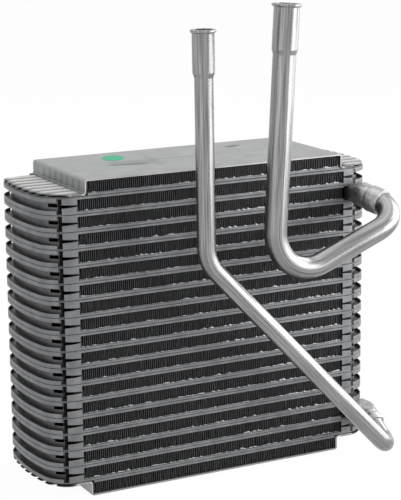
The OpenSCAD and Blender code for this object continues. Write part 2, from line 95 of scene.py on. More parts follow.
TOP = SidePlate(
    "top_side_plate", wall_left=101, wall_right=101, upright=True, spare=2.1)
BOTTOM = SidePlate(
    "bottom_side_plate", wall_left=101.4, wall_right=98.8, upright=False, spare=2.1)


# Colour, mesh and node helpers

def linear(hex_colour):
    """sRGB hex like "#8f9092" turned to the linear RGBA that shader sockets take."""
    channels = [int(hex_colour[i:i + 2], 16) / 255 for i in (1, 3, 5)]
    curve = [c / 12.92 if c <= 0.04045 else ((c + 0.055) / 1.055) ** 2.4 for c in channels]
    return (*curve, 1.0)


def per_mm(size):
    """Scale of a noise or wave pattern whose features are about size millimetres wide."""
    return 1 / (size * MM)


def put_mesh(name, points, faces, smooth_angle=40, uv=None):
    """A new object from points in millimetres and faces as index rows."""
    mesh = bpy.data.meshes.new(name)
    faces = faces.tolist() if isinstance(faces, np.ndarray) else faces
    mesh.from_pydata((np.asarray(points, float) * MM).tolist(), [], faces)
    if uv is not None:
        layer = mesh.uv_layers.new(name="UVMap")
        corners = np.empty(len(mesh.loops), dtype=np.int64)
        mesh.loops.foreach_get("vertex_index", corners)
        layer.data.foreach_set("uv", np.asarray(uv, np.float32)[corners].ravel())
    mesh.validate()
    mesh.set_sharp_from_angle(angle=math.radians(smooth_angle))
    mesh.update()
    piece = bpy.data.objects.new(name, mesh)
    bpy.context.scene.collection.objects.link(piece)
    return piece


def grid_faces(rows, columns, close_rows=False, close_columns=False):
    """Quads between neighbours of a grid of points, whose point (i, j) is number
    i * columns + j. A closed direction joins its last line to its first."""
    i = np.arange(rows if close_rows else rows - 1)
    j = np.arange(columns if close_columns else columns - 1)
    i, j = (a.ravel() for a in np.meshgrid(i, j, indexing="ij"))
    i2, j2 = (i + 1) % rows, (j + 1) % columns
    return np.stack([i * columns + j, i2 * columns + j, i2 * columns + j2, i * columns + j2], 1)


def dress(piece, material):
    """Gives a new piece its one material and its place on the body."""
    piece.data.materials.clear()
    piece.data.materials.append(material)
    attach(piece, BODY)
    return piece


def dress_node(name, material):
    """Puts a material on a CAD node, whose mesh stays as it is."""
    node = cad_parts[name]
    node.data.materials.clear()
    node.data.materials.append(material)


def add(tree, kind, settings=None, **links):
    """Adds one node. settings go on the node, and links name its inputs, with
    underscores for spaces or as _6 for input 6, and hold a value or another
    node's output."""
    new = tree.nodes.new(kind)
    for key, value in (settings or {}).items():
        setattr(new, key, value)
    for key, value in links.items():
        socket = new.inputs[int(key[1:])] if key[0] == "_" else new.inputs[key.replace("_", " ")]
        if isinstance(value, bpy.types.NodeSocket):
            tree.links.new(value, socket)
        else:
            socket.default_value = value
    return new


def new_material(name):
    """An empty node material and its tree."""
    material = bpy.data.materials.new(name)
    material.use_nodes = True
    material.node_tree.nodes.clear()
    return material, material.node_tree


def finish_material(tree, shader):
    """Joins a shader to the material's output."""
    add(tree, "ShaderNodeOutputMaterial", Surface=shader.outputs[0])


def ramp(tree, value, stops):
    """A colour ramp over value, with stops as (place, colour)."""
    new = add(tree, "ShaderNodeValToRGB", Fac=value)
    elements = new.color_ramp.elements
    while len(elements) < len(stops):
        elements.new(0.5)
    for element, (place, colour) in zip(elements, stops):
        element.position = place
        element.color = colour
    return new.outputs["Color"]


def noise(tree, coords, size, detail=3.0, stretch=(1, 1, 1)):
    """Noise with features of size millimetres, stretched along the axes."""
    mapping = add(tree, "ShaderNodeMapping", Vector=coords, Scale=stretch)
    return add(
        tree, "ShaderNodeTexNoise", Vector=mapping.outputs[0], Scale=per_mm(size), Detail=detail
    ).outputs["Fac"]


def soft_edges(tree, radius, bumped):
    """Normals rounded over the edges by radius millimetres, under a bump."""
    rounded = add(tree, "ShaderNodeBevel", {"samples": 6}, Radius=radius * MM)
    bumped.id_data.links.new(rounded.outputs[0], bumped.inputs["Normal"])
    return bumped.outputs[0]


def paint_crevice_shade(tree, colour, dark, reach, low=0.0, high=1.0):
    """Painted shade: darkens a colour in hollows and gaps narrower than about
    reach millimetres, down to the dark colour. low and high are how open a
    place is where the darkening is full and none."""
    open_part = add(
        tree, "ShaderNodeAmbientOcclusion", {"samples": 8}, Distance=reach * MM
    ).outputs["AO"]
    open_part = add(
        tree, "ShaderNodeMapRange", Value=open_part, From_Min=low, From_Max=high
    ).outputs["Result"]
    return add(
        tree, "ShaderNodeMix", {"data_type": "RGBA"}, _0=open_part, _6=dark, _7=colour
    ).outputs[2]


def spread(tree, value, low, high):
    """Value from 0 to 1 mapped to a range, for roughness and the like."""
    return add(
        tree, "ShaderNodeMapRange", Value=value, To_Min=low, To_Max=high
    ).outputs["Result"]


# Materials, named for what the real surfaces are

class EvaporatorFinish(bpy.types.PropertyGroup):
    plate_dark: bpy.props.FloatVectorProperty(
        name="Plate dark", description="Darker colour in the plates' mottle",
        default=linear("#6f7072"), size=4, subtype="COLOR")
    plate_light: bpy.props.FloatVectorProperty(
        name="Plate light", description="Paler colour in the plates' mottle",
        default=linear("#858688"), size=4, subtype="COLOR")
    # The next colour is painted shade, which the plates are darkened to deep in their gaps and
    # hollows
    plate_gap_shade: bpy.props.FloatVectorProperty(
        name="Plate gap", description="Colour deep in the gaps between the plates",
        default=linear("#1c1c1d"), size=4, subtype="COLOR")
    # The fins' two colours are painted dark as painted shade, for the shade inside their channels
    fin_dark: bpy.props.FloatVectorProperty(
        name="Fin dark", description="Darker colour in the fins' streaks",
        default=linear("#515254"), size=4, subtype="COLOR")
    fin_light: bpy.props.FloatVectorProperty(
        name="Fin light", description="Paler colour in the fins' streaks",
        default=linear("#727374"), size=4, subtype="COLOR")
    braze_dark: bpy.props.FloatVectorProperty(
        name="Braze dark", description="Darker colour in the braze's grain",
        default=linear("#6b6c6e"), size=4, subtype="COLOR")
    braze_light: bpy.props.FloatVectorProperty(
        name="Braze light", description="Paler colour in the braze's grain",
        default=linear("#9c9d9e"), size=4, subtype="COLOR")
    # The side plates' valley and crest colours are painted light: painted shade between the ribs
    # and a painted highlight on their crests
    side_valley_shade: bpy.props.FloatVectorProperty(
        name="Side valley", description="Colour of the side plates between their ribs",
        default=linear("#5e5f60"), size=4, subtype="COLOR")
    side_plain: bpy.props.FloatVectorProperty(
        name="Side plain", description="Colour of the side plates where they are plain",
        default=linear("#9a9b9c"), size=4, subtype="COLOR")
    side_crest_highlight: bpy.props.FloatVectorProperty(
        name="Side crest", description="Colour of the side plates on their ribs' crests",
        default=linear("#cfcecb"), size=4, subtype="COLOR")
    # The next colour is painted shade in the side plates' narrow hollows
    side_hollow_shade: bpy.props.FloatVectorProperty(
        name="Side gap", description="Colour in the side plates' narrow hollows",
        default=linear("#4a4b4c"), size=4, subtype="COLOR")
    port_dark: bpy.props.FloatVectorProperty(
        name="Port dark", description="Darker colour of the formed ports",
        default=linear("#98999a"), size=4, subtype="COLOR")
    port_light: bpy.props.FloatVectorProperty(
        name="Port light", description="Paler colour of the formed ports",
        default=linear("#b6b6b6"), size=4, subtype="COLOR")
    tube_dark: bpy.props.FloatVectorProperty(
        name="Tube dark", description="Colour in the pipes' die lines",
        default=linear("#707171"), size=4, subtype="COLOR")
    tube_light: bpy.props.FloatVectorProperty(
        name="Tube light", description="Colour between the pipes' die lines",
        default=linear("#9a9a99"), size=4, subtype="COLOR")
    label_dark: bpy.props.FloatVectorProperty(
        name="Label dark", description="Darker colour of the label",
        default=linear("#3fae82"), size=4, subtype="COLOR")
    label_light: bpy.props.FloatVectorProperty(
        name="Label light", description="Paler colour of the label",
        default=linear("#52bd92"), size=4, subtype="COLOR")


def brazed_plate(finish):
    """Brazed clad aluminium sheet: the clad layer has melted and set again, so
    the pressed plates are dull, faintly mottled and a little rough."""
    material, tree = new_material("Brazed aluminium plate")
    coords = add(tree, "ShaderNodeTexCoord").outputs["Object"]
    mottle = noise(tree, coords, 9, 4)
    grain = noise(tree, coords, 0.8, 2)
    colour = ramp(tree, mottle, [(0.3, finish.plate_dark), (0.7, finish.plate_light)])
    bump = add(tree, "ShaderNodeBump", Height=grain, Strength=0.25, Distance=0.05 * MM)
    # Painted shade deep in the gaps and hollows between the plates
    colour = paint_crevice_shade(tree, colour, finish.plate_gap_shade, 7, -0.5)
    shader = add(
        tree, "ShaderNodeBsdfPrincipled", Base_Color=colour, Metallic=0.85,
        Roughness=spread(tree, grain, 0.42, 0.6), Normal=soft_edges(tree, 0.5, bump),
    )
    finish_material(tree, shader)
    return material


def brazed_fin(finish):
    """Thin brazed fin strip with fine streaks: its colours are painted darker
    than the plates' as painted shade, for the shade inside each channel."""
    material, tree = new_material("Brazed aluminium fin")
    coords = add(tree, "ShaderNodeTexCoord").outputs["Object"]
    streak = noise(tree, coords, 2.2, 3, (1, 1, 0.25))
    colour = ramp(tree, streak, [(0.3, finish.fin_dark), (0.7, finish.fin_light)])
    shader = add(
        tree, "ShaderNodeBsdfPrincipled", Base_Color=colour, Metallic=0.8, Roughness=0.55
    )
    finish_material(tree, shader)
    return material


def set_braze(finish):
    """Braze alloy that has flowed and set: brighter and smoother than the
    sheet, with a fine grain."""
    material, tree = new_material("Set aluminium braze")
    coords = add(tree, "ShaderNodeTexCoord").outputs["Object"]
    grain = noise(tree, coords, 0.6, 3)
    colour = ramp(tree, grain, [(0.3, finish.braze_dark), (0.7, finish.braze_light)])
    bump = add(tree, "ShaderNodeBump", Height=grain, Strength=0.5, Distance=0.15 * MM)
    shader = add(
        tree, "ShaderNodeBsdfPrincipled", Base_Color=colour, Metallic=0.9,
        Roughness=0.42, Normal=bump.outputs[0],
    )
    finish_material(tree, shader)
    return material


def pressed_side(finish):
    """Pressed side plate of bare aluminium sheet: satin, paler than the
    plates, with broad soft stains from the brazing furnace. The UV map's U is
    how raised the sheet is, and the colour follows it as painted light:
    painted shade in the valleys and a painted highlight on the crests."""
    material, tree = new_material("Pressed aluminium side plate")
    coords = add(tree, "ShaderNodeTexCoord").outputs["Object"]
    stain = noise(tree, coords, 16, 6)
    grain = noise(tree, coords, 1.2, 2)
    uv = add(tree, "ShaderNodeTexCoord").outputs["UV"]
    painted_light_and_stain = add(tree, "ShaderNodeSeparateXYZ", Vector=uv).outputs["X"]
    spots = spread(tree, stain, -0.14, 0.14)
    painted_light_and_stain = add(
        tree, "ShaderNodeMath", {"operation": "ADD"}, _0=painted_light_and_stain, _1=spots
    ).outputs[0]
    # Painted shade in the valleys, the plain sheet, and a painted highlight on the crests, with the
    # stains added
    colour = ramp(tree, painted_light_and_stain, [
        (0.0, finish.side_valley_shade), (PLAIN, finish.side_plain), (1.0, finish.side_crest_highlight)])
    # Painted shade in the side plates' narrow hollows
    colour = paint_crevice_shade(tree, colour, finish.side_hollow_shade, 3)
    bump = add(tree, "ShaderNodeBump", Height=grain, Strength=0.2, Distance=0.05 * MM)
    shader = add(
        tree, "ShaderNodeBsdfPrincipled", Base_Color=colour, Metallic=0.85,
        Roughness=spread(tree, grain, 0.4, 0.55), Normal=soft_edges(tree, 0.4, bump),
    )
    finish_material(tree, shader)
    return material


def satin_port(finish):
    """Formed aluminium port: satin like the pipes, with a hammered touch where
    it was pressed."""
    material, tree = new_material("Formed aluminium port")
    coords = add(tree, "ShaderNodeTexCoord").outputs["Object"]
    dents = noise(tree, coords, 3, 2)
    colour = ramp(tree, dents, [(0.3, finish.port_dark), (0.7, finish.port_light)])
    bump = add(tree, "ShaderNodeBump", Height=dents, Strength=0.3, Distance=0.15 * MM)
    shader = add(
        tree, "ShaderNodeBsdfPrincipled", Base_Color=colour, Metallic=0.95,
        Roughness=0.36, Normal=bump.outputs[0],
    )
    finish_material(tree, shader)
    return material


def drawn_tube(finish):
    """Drawn aluminium tube: satin, with fine die lines along its length, which
    are drawn about 0.9 mm wide, as coarse as they need to be to show. The UV
    map runs along the pipe in U and round it in V, both in millimetres."""
    material, tree = new_material("Drawn aluminium tube")
    uv = add(tree, "ShaderNodeTexCoord").outputs["UV"]
    mapping = add(tree, "ShaderNodeMapping", Vector=uv, Scale=(0.02, 1, 1))
    lines = add(
        tree, "ShaderNodeTexNoise", Vector=mapping.outputs[0], Scale=1.1, Detail=3
    ).outputs["Fac"]
    colour = ramp(tree, lines, [(0.35, finish.tube_dark), (0.6, finish.tube_light)])
    bump = add(tree, "ShaderNodeBump", Height=lines, Strength=0.2, Distance=0.05 * MM)
    shader = add(
        tree, "ShaderNodeBsdfPrincipled", Base_Color=colour, Metallic=1.0,
        Roughness=0.27, Normal=bump.outputs[0],
    )
    finish_material(tree, shader)
    return material


def paper_label(finish):
    """Matt green paper label: its colour is a little uneven with wear."""
    material, tree = new_material("Matt green paper label")
    coords = add(tree, "ShaderNodeTexCoord").outputs["Object"]
    wear = noise(tree, coords, 1.5, 4)
    colour = ramp(tree, wear, [(0.35, finish.label_dark), (0.7, finish.label_light)])
    shader = add(tree, "ShaderNodeBsdfPrincipled", Base_Color=colour, Roughness=0.7)
    finish_material(tree, shader)
    return material


# Fins

OUTER_SEEDS = (101, 102)
PLAIN_EDGE = 0.8         # plain strip before the first louvre, in louvre pitches
LEG_IN = 0.16            # share of a leg from its end to where the louvres start
END_HALF = 0.1           # half width of a strip's first and last crest


def fin_profile(x0, x1, z0, z1, leg_pitch, crest, jitter, rng):
    """The folded strip's line in the XZ plane: legs that go up and down in turn
    between flat crests. Each leg has a point at each crest's edge and two
    points a little in from its ends, between which it is louvred. Returns x,
    z and the louvre weight of each point."""
    legs = int(round((x1 - x0) / leg_pitch))
    at = x0 + (x1 - x0) * np.arange(legs + 1) / legs
    at[1:-1] += rng.normal(0, jitter, legs - 1)
    up = np.arange(legs + 1) % 2 == 0
    crest_z = np.where(up, z1, z0)
    half = np.full(legs + 1, crest / 2)
    half[[0, -1]] = END_HALF
    start_x, start_z = at[:-1] + half[:-1], crest_z[:-1]
    end_x, end_z = at[1:] - half[1:], crest_z[1:]
    bow = rng.normal(0, jitter, legs)
    x = np.stack([
        start_x,
        start_x + (end_x - start_x) * LEG_IN + bow,
        end_x - (end_x - start_x) * LEG_IN + bow,
        end_x,
    ], 1).ravel()
    z = np.stack([
        start_z,
        start_z + (end_z - start_z) * LEG_IN,
        end_z - (end_z - start_z) * LEG_IN,
        end_z,
    ], 1).ravel()
    weight = np.tile([0.0, 1.0, 1.0, 0.0], legs)
    x = np.concatenate([[at[0]], x, [at[-1]]])
    z = np.concatenate([[crest_z[0]], z, [crest_z[-1]]])
    return x, z, np.concatenate([[0.0], weight, [0.0]])


def fin_surface(low, high, fins, seed):
    """A fin strip with thickness: its line moved half a thickness to both sides
    along the line's normals and carried through the depth, with the legs
    waved to and fro near both faces as louvres. Returns points and faces."""
    rng = np.random.default_rng(seed)
    t = fins.thickness / MM
    x, z, weight = fin_profile(
        low[0], high[0], low[2] + t / 2, high[2] - t / 2,
        fins.leg_pitch / MM, fins.crest / MM, fins.jitter / MM, rng,
    )
    run = np.stack([np.gradient(x), np.gradient(z)], 1)
    run /= np.linalg.norm(run, axis=1)[:, None]
    normal = np.stack([-run[:, 1], run[:, 0]], 1) * t / 2
    line = np.concatenate([
        np.stack([x, z], 1) + normal,
        (np.stack([x, z], 1) - normal)[::-1],
    ])
    line[:, 1] = np.clip(line[:, 1], low[2], high[2])
    line[:, 0] = np.clip(line[:, 0], low[0], high[0])
    weight = np.concatenate([weight, weight[::-1]])
    pitch = fins.louvre_pitch / MM
    count = fins.louvres
    near = low[1] + pitch * np.concatenate([[0.0], PLAIN_EDGE + np.arange(count + 1)])
    far = (low[1] + high[1] - near)[::-1]
    y = np.concatenate([near, far])
    wave = np.concatenate([[0.0], np.where(np.arange(count + 1) % 2 == 0, 1.0, -1.0)])
    wave = np.concatenate([wave, wave[::-1]]) * fins.louvre_depth / MM
    points = np.empty((len(y), len(line), 3))
    points[:, :, 0] = line[None, :, 0] + wave[:, None] * weight[None, :]
    points[:, :, 1] = y[:, None]
    points[:, :, 2] = line[None, :, 1]
    columns = len(line)
    faces = grid_faces(len(y), columns, close_columns=True)
    k = np.arange(len(x) - 1)
    front = np.stack([k, k + 1, columns - 2 - k, columns - 1 - k], 1)
    back = (front + (len(y) - 1) * columns)[:, ::-1]
    return points.reshape(-1, 3), np.concatenate([faces, front, back])


class EvaporatorFins(bpy.types.PropertyGroup):
    leg_pitch: bpy.props.FloatProperty(
        name="Leg pitch", description="Distance from one fin leg to the next",
        default=1.5 * MM, unit="LENGTH")
    crest: bpy.props.FloatProperty(
        name="Crest", description="Width of a fold's flat crest",
        default=1.25 * MM, unit="LENGTH")
    thickness: bpy.props.FloatProperty(
        name="Thickness", description="Thickness of the fin strip",
        default=0.24 * MM, unit="LENGTH")
    jitter: bpy.props.FloatProperty(
        name="Jitter", description="How far the legs stray from an even spacing",
        default=0.05 * MM, unit="LENGTH")
    louvre_pitch: bpy.props.FloatProperty(
        name="Louvre pitch", description="Distance from one louvre to the next",
        default=1.0 * MM, unit="LENGTH")
    louvre_depth: bpy.props.FloatProperty(
        name="Louvre depth", description="How far a louvre stands out of its leg",
        default=0.2 * MM, unit="LENGTH")
    louvres: bpy.props.IntProperty(
        name="Louvres", description="Number of louvres drawn behind each face", default=5)


class EvaporatorAddFins(bpy.types.Operator):
    """Replaces the plain fin rows with finely folded, louvred strips"""
    bl_idname = "evaporator.add_fins"
    bl_label = "Add fins"

    def execute(self, context):
        fins = context.scene.evaporator_fins
        material = brazed_fin(context.scene.evaporator_finish)
        for seed, name in enumerate(FIN_NODES):
            low, high = node_box(name)
            points, faces = fin_surface(low, high, fins, seed)
            piece = put_mesh(name + "_strip", points, faces, smooth_angle=30)
            dress(piece, material)
            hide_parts(name)
        low, high = node_box(OUTER_FINS)
        top_low = (TOP.fins_left, low[1], high[2] - FIN_HEIGHT)
        top_high = (TOP.fins_right, high[1], high[2])
        end_low = (BOTTOM.fins_left, low[1], low[2])
        end_high = (BOTTOM.fins_right, high[1], low[2] + FIN_HEIGHT)
        top_points, top_faces = fin_surface(top_low, top_high, fins, OUTER_SEEDS[0])
        end_points, end_faces = fin_surface(end_low, end_high, fins, OUTER_SEEDS[1])
        points = np.concatenate([top_points, end_points])
        faces = np.concatenate([top_faces, end_faces + len(top_points)])
        piece = put_mesh(OUTER_FINS + "_strips", points, faces, smooth_angle=30)
        dress(piece, material)
        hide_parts(OUTER_FINS)
        return {"FINISHED"}


# Braze along the fins

class EvaporatorBraze(bpy.types.PropertyGroup):
    low: bpy.props.FloatProperty(
        name="Low", description="Usual height of the braze that has crept up the fins",
        default=0.3 * MM, unit="LENGTH")
    high: bpy.props.FloatProperty(
        name="High", description="Height of the braze at its peaks",
        default=1.7 * MM, unit="LENGTH")
    thickness: bpy.props.FloatProperty(
        name="Thickness", description="How far the braze stands out of the fins",
        default=0.5 * MM, unit="LENGTH")
    step: bpy.props.FloatProperty(
        name="Step", description="Distance between the braze's points along a row",
        default=0.65 * MM, unit="LENGTH")


# The braze's peaks are the product of three rows of random bumps, whose widths
# in millimetres are a drop's, a fold's and a whole patch's
DROP_W, FOLD_W, PATCH_W = 1.3, 2.1, 12
PATCH_POWER = 0.4        # under 1, so that the patches are broad
PEAK_GAIN = 1.9          # the product is small, so it is raised and cut off at 1
PEAK_FALL = 0.1
# The peaks grow along X from the far share to their full height near the ports
FAR_SHARE, GROW_FROM, GROW_OVER = 0.7, -20, 110
LOW_OUT = 0.35           # share of the thickness that the braze has with no height
BRAZE_IN = 0.6           # how far the braze reaches in between the fins
ROW_END = 0.3            # from a fin row's end to the end of its braze
BRAZE_LIFT = 0.02        # off the plate's face, so that the two don't flicker
BRAZE_SEEDS = {-1: 600, 1: 1200}


def bumps(x, width, rng):
    """Smooth random bumps about width millimetres wide, from 0 to 1: random
    values at even places, joined by raised cosines."""
    place = (x - x[0]) / width
    values = rng.random(int(place[-1]) + 2)
    left = place.astype(int)
    t = (1 - np.cos(math.pi * (place - left))) / 2
    return values[left] * (1 - t) + values[left + 1] * t


def braze_surface(low, high, side, braze, seed):
    """Braze that has crept up the foot of a fin row at one face of the core: a
    quarter-round section carried along the row, whose height is a low line
    with random peaks. side is -1 for the front. Returns points, side faces
    and end faces."""
    rng = np.random.default_rng(seed)
    x = np.arange(low[0] + ROW_END, high[0] - ROW_END, braze.step / MM)
    peaks = bumps(x, DROP_W, rng) * bumps(x, FOLD_W, rng)
    peaks *= bumps(x, PATCH_W, rng) ** PATCH_POWER
    peaks *= FAR_SHARE + (1 - FAR_SHARE) * np.clip((x - GROW_FROM) / GROW_OVER, 0, 1)
    peaks = np.clip(PEAK_GAIN * peaks - PEAK_FALL, 0, 1)
    height = braze.low / MM + (braze.high - braze.low) / MM * peaks
    share = LOW_OUT + (1 - LOW_OUT) * height / (braze.high / MM)
    out = braze.thickness / MM * share
    turn = np.linspace(0, math.pi / 2, 5)
    face = low[1] if side < 0 else high[1]
    edge = np.ones((len(x), 1))
    y = face + side * np.concatenate([out[:, None] * np.cos(turn), -BRAZE_IN * edge], 1)
    z = low[2] + BRAZE_LIFT + np.concatenate([height[:, None] * np.sin(turn), 0 * edge], 1)
    points = np.stack([np.broadcast_to(x[:, None], y.shape), y, z], 2).reshape(-1, 3)
    columns = y.shape[1]
    faces = grid_faces(len(x), columns, close_columns=True)
    faces = faces if side < 0 else faces[:, ::-1]
    near = list(range(columns))
    far = [(len(x) - 1) * columns + k for k in reversed(near)]
    ends = [near[::-1], far[::-1]] if side < 0 else [near, far]
    return points, faces, ends


class EvaporatorAddBraze(bpy.types.Operator):
    """Adds the braze that has crept up the feet of the fins, front and back"""
    bl_idname = "evaporator.add_braze"
    bl_label = "Add braze"

    def execute(self, context):
        braze = context.scene.evaporator_braze
        material = set_braze(context.scene.evaporator_finish)
        rows = [node_box(name) for name in FIN_NODES]
        low, high = node_box(OUTER_FINS)
        foot = (TOP.fins_left, low[1], high[2] - FIN_HEIGHT)
        rows.append((foot, (TOP.fins_right, *high[1:])))
        for side, name in ((-1, "front_braze"), (1, "back_braze")):
            points, faces, count = [], [], 0
            for seed, (low, high) in enumerate(rows):
                some, quads, ends = braze_surface(
                    low, high, side, braze, BRAZE_SEEDS[side] + seed)
                points.append(some)
                faces += (quads + count).tolist()
                faces += [[k + count for k in end] for end in ends]
                count += len(some)
            piece = put_mesh(name, np.concatenate(points), faces, smooth_angle=60)
            dress(piece, material)
        return {"FINISHED"}


# Pressed plates

class EvaporatorAddPlates(bpy.types.Operator):
    """Finishes the pressed tube plates"""
    bl_idname = "evaporator.add_plates"
    bl_label = "Finish plates"

    def execute(self, context):
        material = brazed_plate(context.scene.evaporator_finish)
        for name in PLATE_NODES:
            dress_node(name, material)
        return {"FINISHED"}


# Side plates

# Level of painted light in the side plates' colour, after how raised the sheet is:
# from 0, painted shade in a valley, to 1, a painted highlight on a crest
PLAIN = 0.6
# Painted shade in the hollow at a wall's foot, on the wall, and more between its flutes
FOOT_SHADE, WALL_SHADE, FLUTE_SHADE = 0.42, 0.56, 0.12
EDGE_HIGHLIGHT = 0.7           # a painted highlight along the front edge, where the sheet is cut
DENT_SHADE = 0.75              # fall for each millimetre of a dent: painted shade in the dents
# Points on an end's four stretches: ribbed sheet, foot, wall and bend
SECTION_POINTS = (34, 6, 9, 8)
FAR_SHELF = 3            # width of the sheet outside the wall, past the far edge
RIB_POWER = 2.4          # 2 would make a rib's section half an ellipse
# Rows across the depth and columns over the platform. The top plate's grid is
# close enough to carry its marks.
TOP_GRID, BOTTOM_GRID = (140, 80), (132, 8)


class EvaporatorSides(bpy.types.PropertyGroup):
    thickness: bpy.props.FloatProperty(
        name="Thickness", description="Sheet thickness", default=1.2 * MM, unit="LENGTH")
    edge_inset: bpy.props.FloatProperty(
        name="Edge inset", description="Distance from the tubes' edge to the plate's edge",
        default=0.3 * MM, unit="LENGTH")
    bend_radius: bpy.props.FloatProperty(
        name="Bend radius", description="Radius of the bend at a platform's ends",
        default=1.8 * MM, unit="LENGTH")
    foot_radius: bpy.props.FloatProperty(
        name="Foot radius", description="Radius of the hollow at a wall's foot",
        default=1.2 * MM, unit="LENGTH")
    ribs: bpy.props.IntProperty(
        name="Ribs", description="Number of ribs across each end", default=8)
    first_rib: bpy.props.FloatProperty(
        name="First rib", description="Place of the frontmost rib along Y",
        default=-40.8 * MM, unit="LENGTH")
    rib_pitch: bpy.props.FloatProperty(
        name="Rib pitch", description="Distance from one rib to the next",
        default=10 * MM, unit="LENGTH")
    rib_width: bpy.props.FloatProperty(
        name="Rib width", description="Width of a rib at its foot",
        default=8.2 * MM, unit="LENGTH")
    rib_gap: bpy.props.FloatProperty(
        name="Rib gap", description="Distance from the wall to a rib's rounded end",
        default=2.6 * MM, unit="LENGTH")
    far_edge: bpy.props.FloatProperty(
        name="Far edge", description="Place along Y where the ribbed ends stop at the back",
        default=35.5 * MM, unit="LENGTH")
    rib_height: bpy.props.FloatProperty(
        name="Rib height", description="Height of a rib over the sheet",
        default=1.3 * MM, unit="LENGTH")
    flute_depth: bpy.props.FloatProperty(
        name="Flute depth", description="How far a rib stands out of the wall at its foot",
        default=0.7 * MM, unit="LENGTH")
    scallop: bpy.props.FloatProperty(
        name="Scallop", description="Radius of the scallops between the ribs' tips",
        default=2.4 * MM, unit="LENGTH")


def tank_edge(reach, y):
    """Distance from the middle to a tank's edge at depth y: an arc of the bow's
    radius that runs over into arcs of the corners' radius."""
    corner_y = HALF_DEPTH - TANK_CORNER_R
    bow_x = reach - TANK_BOW_R
    corner_x = bow_x + math.sqrt((TANK_BOW_R - TANK_CORNER_R) ** 2 - corner_y ** 2)
    past = np.clip(np.abs(y) - corner_y, 0, TANK_CORNER_R)
    return np.where(
        np.abs(y) < corner_y,
        bow_x + np.sqrt(TANK_BOW_R ** 2 - y ** 2),
        corner_x + np.sqrt(TANK_CORNER_R ** 2 - past ** 2),
    )


def rib_wave(y, sides):
    """Height of the ribs across depth y, from 0 to 1: sqrt(1 - t^n) over each
    rib, with t from 0 on its crest to 1 at its foot."""
    pitch, first = sides.rib_pitch / MM, sides.first_rib / MM
    nearest = np.clip(np.round((y - first) / pitch), 0, sides.ribs - 1)
    t = np.abs(y - first - nearest * pitch) / (sides.rib_width / MM / 2)
    return np.sqrt(1 - np.clip(t, 0, 1) ** RIB_POWER)


def plate_end(reach, wall, height, y, sides):
    """The section of one end of a side plate at each depth y, from the tip over
    the ribbed sheet, up the fluted wall and round the bend. Both ends of a
    rib are elliptic domes. Returns distances from the middle, heights over
    the flange and the level of painted light after how raised the sheet is,
    one row to each y."""
    on_sheet, on_foot, on_wall, on_bend = SECTION_POINTS
    t, r, foot = sides.thickness / MM, sides.bend_radius / MM, sides.foot_radius / MM
    rib = rib_wave(y, sides)
    pitch, half_w = sides.rib_pitch / MM, sides.rib_width / MM / 2
    along = (y - sides.first_rib / MM) / pitch
    between = np.abs(along % 1 - 0.5) * pitch
    outermost = (along < 0) | (along > sides.ribs - 1)
    scallop = np.sqrt(np.clip((sides.scallop / MM) ** 2 - between ** 2, 0, None))
    inset = sides.edge_inset / MM
    tip = tank_edge(reach - inset, np.clip(y, inset - HALF_DEPTH, HALF_DEPTH - inset))
    tip = tip - np.where(outermost, 0, scallop)
    tip = np.where(y > sides.far_edge / MM, wall + FAR_SHELF, tip)
    wall_foot = t + foot
    flute = sides.flute_depth / MM * rib
    foot_x = wall + flute + foot
    part = (1 - np.cos(math.pi * np.arange(on_sheet) / on_sheet)) / 2
    x = tip[:, None] + (foot_x - tip)[:, None] * part
    from_tip = np.clip((tip[:, None] - x) / half_w, 0, 1)
    from_wall = np.clip((x - wall - sides.rib_gap / MM) / half_w, 0, 1)
    dome = np.sqrt((1 - (1 - from_tip) ** 2) * (1 - (1 - from_wall) ** 2))
    z = t + sides.rib_height / MM * rib[:, None] * dome
    turn = np.linspace(0, math.pi / 2, on_foot)
    hollow_x = foot_x[:, None] - foot * np.sin(turn)
    hollow_z = np.broadcast_to(wall_foot - foot * np.cos(turn), hollow_x.shape)
    climb = np.linspace(0, 1, on_wall + 1)[1:]
    wall_z = np.broadcast_to(wall_foot + (height - r - wall_foot) * climb, (len(y), on_wall))
    fade = np.clip((wall_z - t) / (height - r - t), 0, 1)
    wall_x = wall + flute[:, None] * (1 - fade)
    turn = np.linspace(0, math.pi / 2, on_bend + 1)[1:]
    bend_x = np.broadcast_to(wall - r + r * np.cos(turn), (len(y), on_bend))
    bend_z = np.broadcast_to(height - r + r * np.sin(turn), (len(y), on_bend))
    # Painted highlight on the ribs' crests, and painted shade up the wall between its flutes
    rib_highlight = (rib[:, None] * dome) ** 2
    wall_painted_shade = WALL_SHADE - FLUTE_SHADE * (1 - rib[:, None] ** 2) * fade ** 0.5
    return (
        np.concatenate([x, hollow_x, wall_x, bend_x], 1),
        np.concatenate([z, hollow_z, wall_z, bend_z], 1),
        np.concatenate([
            rib_highlight, np.full(hollow_x.shape, FOOT_SHADE), wall_painted_shade, np.full(bend_x.shape, PLAIN),
        ], 1),
    )


def hollow(x, y, centre, size, depth, turn=0.0):
    """A shallow hollow in the platform, as a change of height: depth times
    exp(-(u^6 + v^6)), a flat-bottomed bell over the given half lengths,
    turned by degrees."""
    c, s = math.cos(math.radians(turn)), math.sin(math.radians(turn))
    u = ((x - centre[0]) * c + (y - centre[1]) * s) / size[0]
    v = ((y - centre[1]) * c - (x - centre[0]) * s) / size[1]
    return -depth * np.exp(-(u ** 6 + v ** 6))


def platform_marks(x, y):
    """Handling marks on the top plate: a shallow pressed hollow with a crease in
    it, faint creases beside it, and a nick behind the larger pipe. Each has
    its centre, half lengths, depth and turn."""
    marks = hollow(x, y, (-46, -2), (17, 8), 0.28, -12)
    marks += hollow(x, y, (-50, -5), (14, 2.6), 0.4, -12)
    marks += hollow(x, y, (-28, -2), (3, 22), 0.18, -6)
    marks += hollow(x, y, (0, 2), (34, 2), 0.2, -4)
    marks += hollow(x, y, (50, 26), (5.5, 2.4), 0.7, 20)
    marks += hollow(x, y, (38, -20), (7, 1.8), 0.15, 25)
    return marks


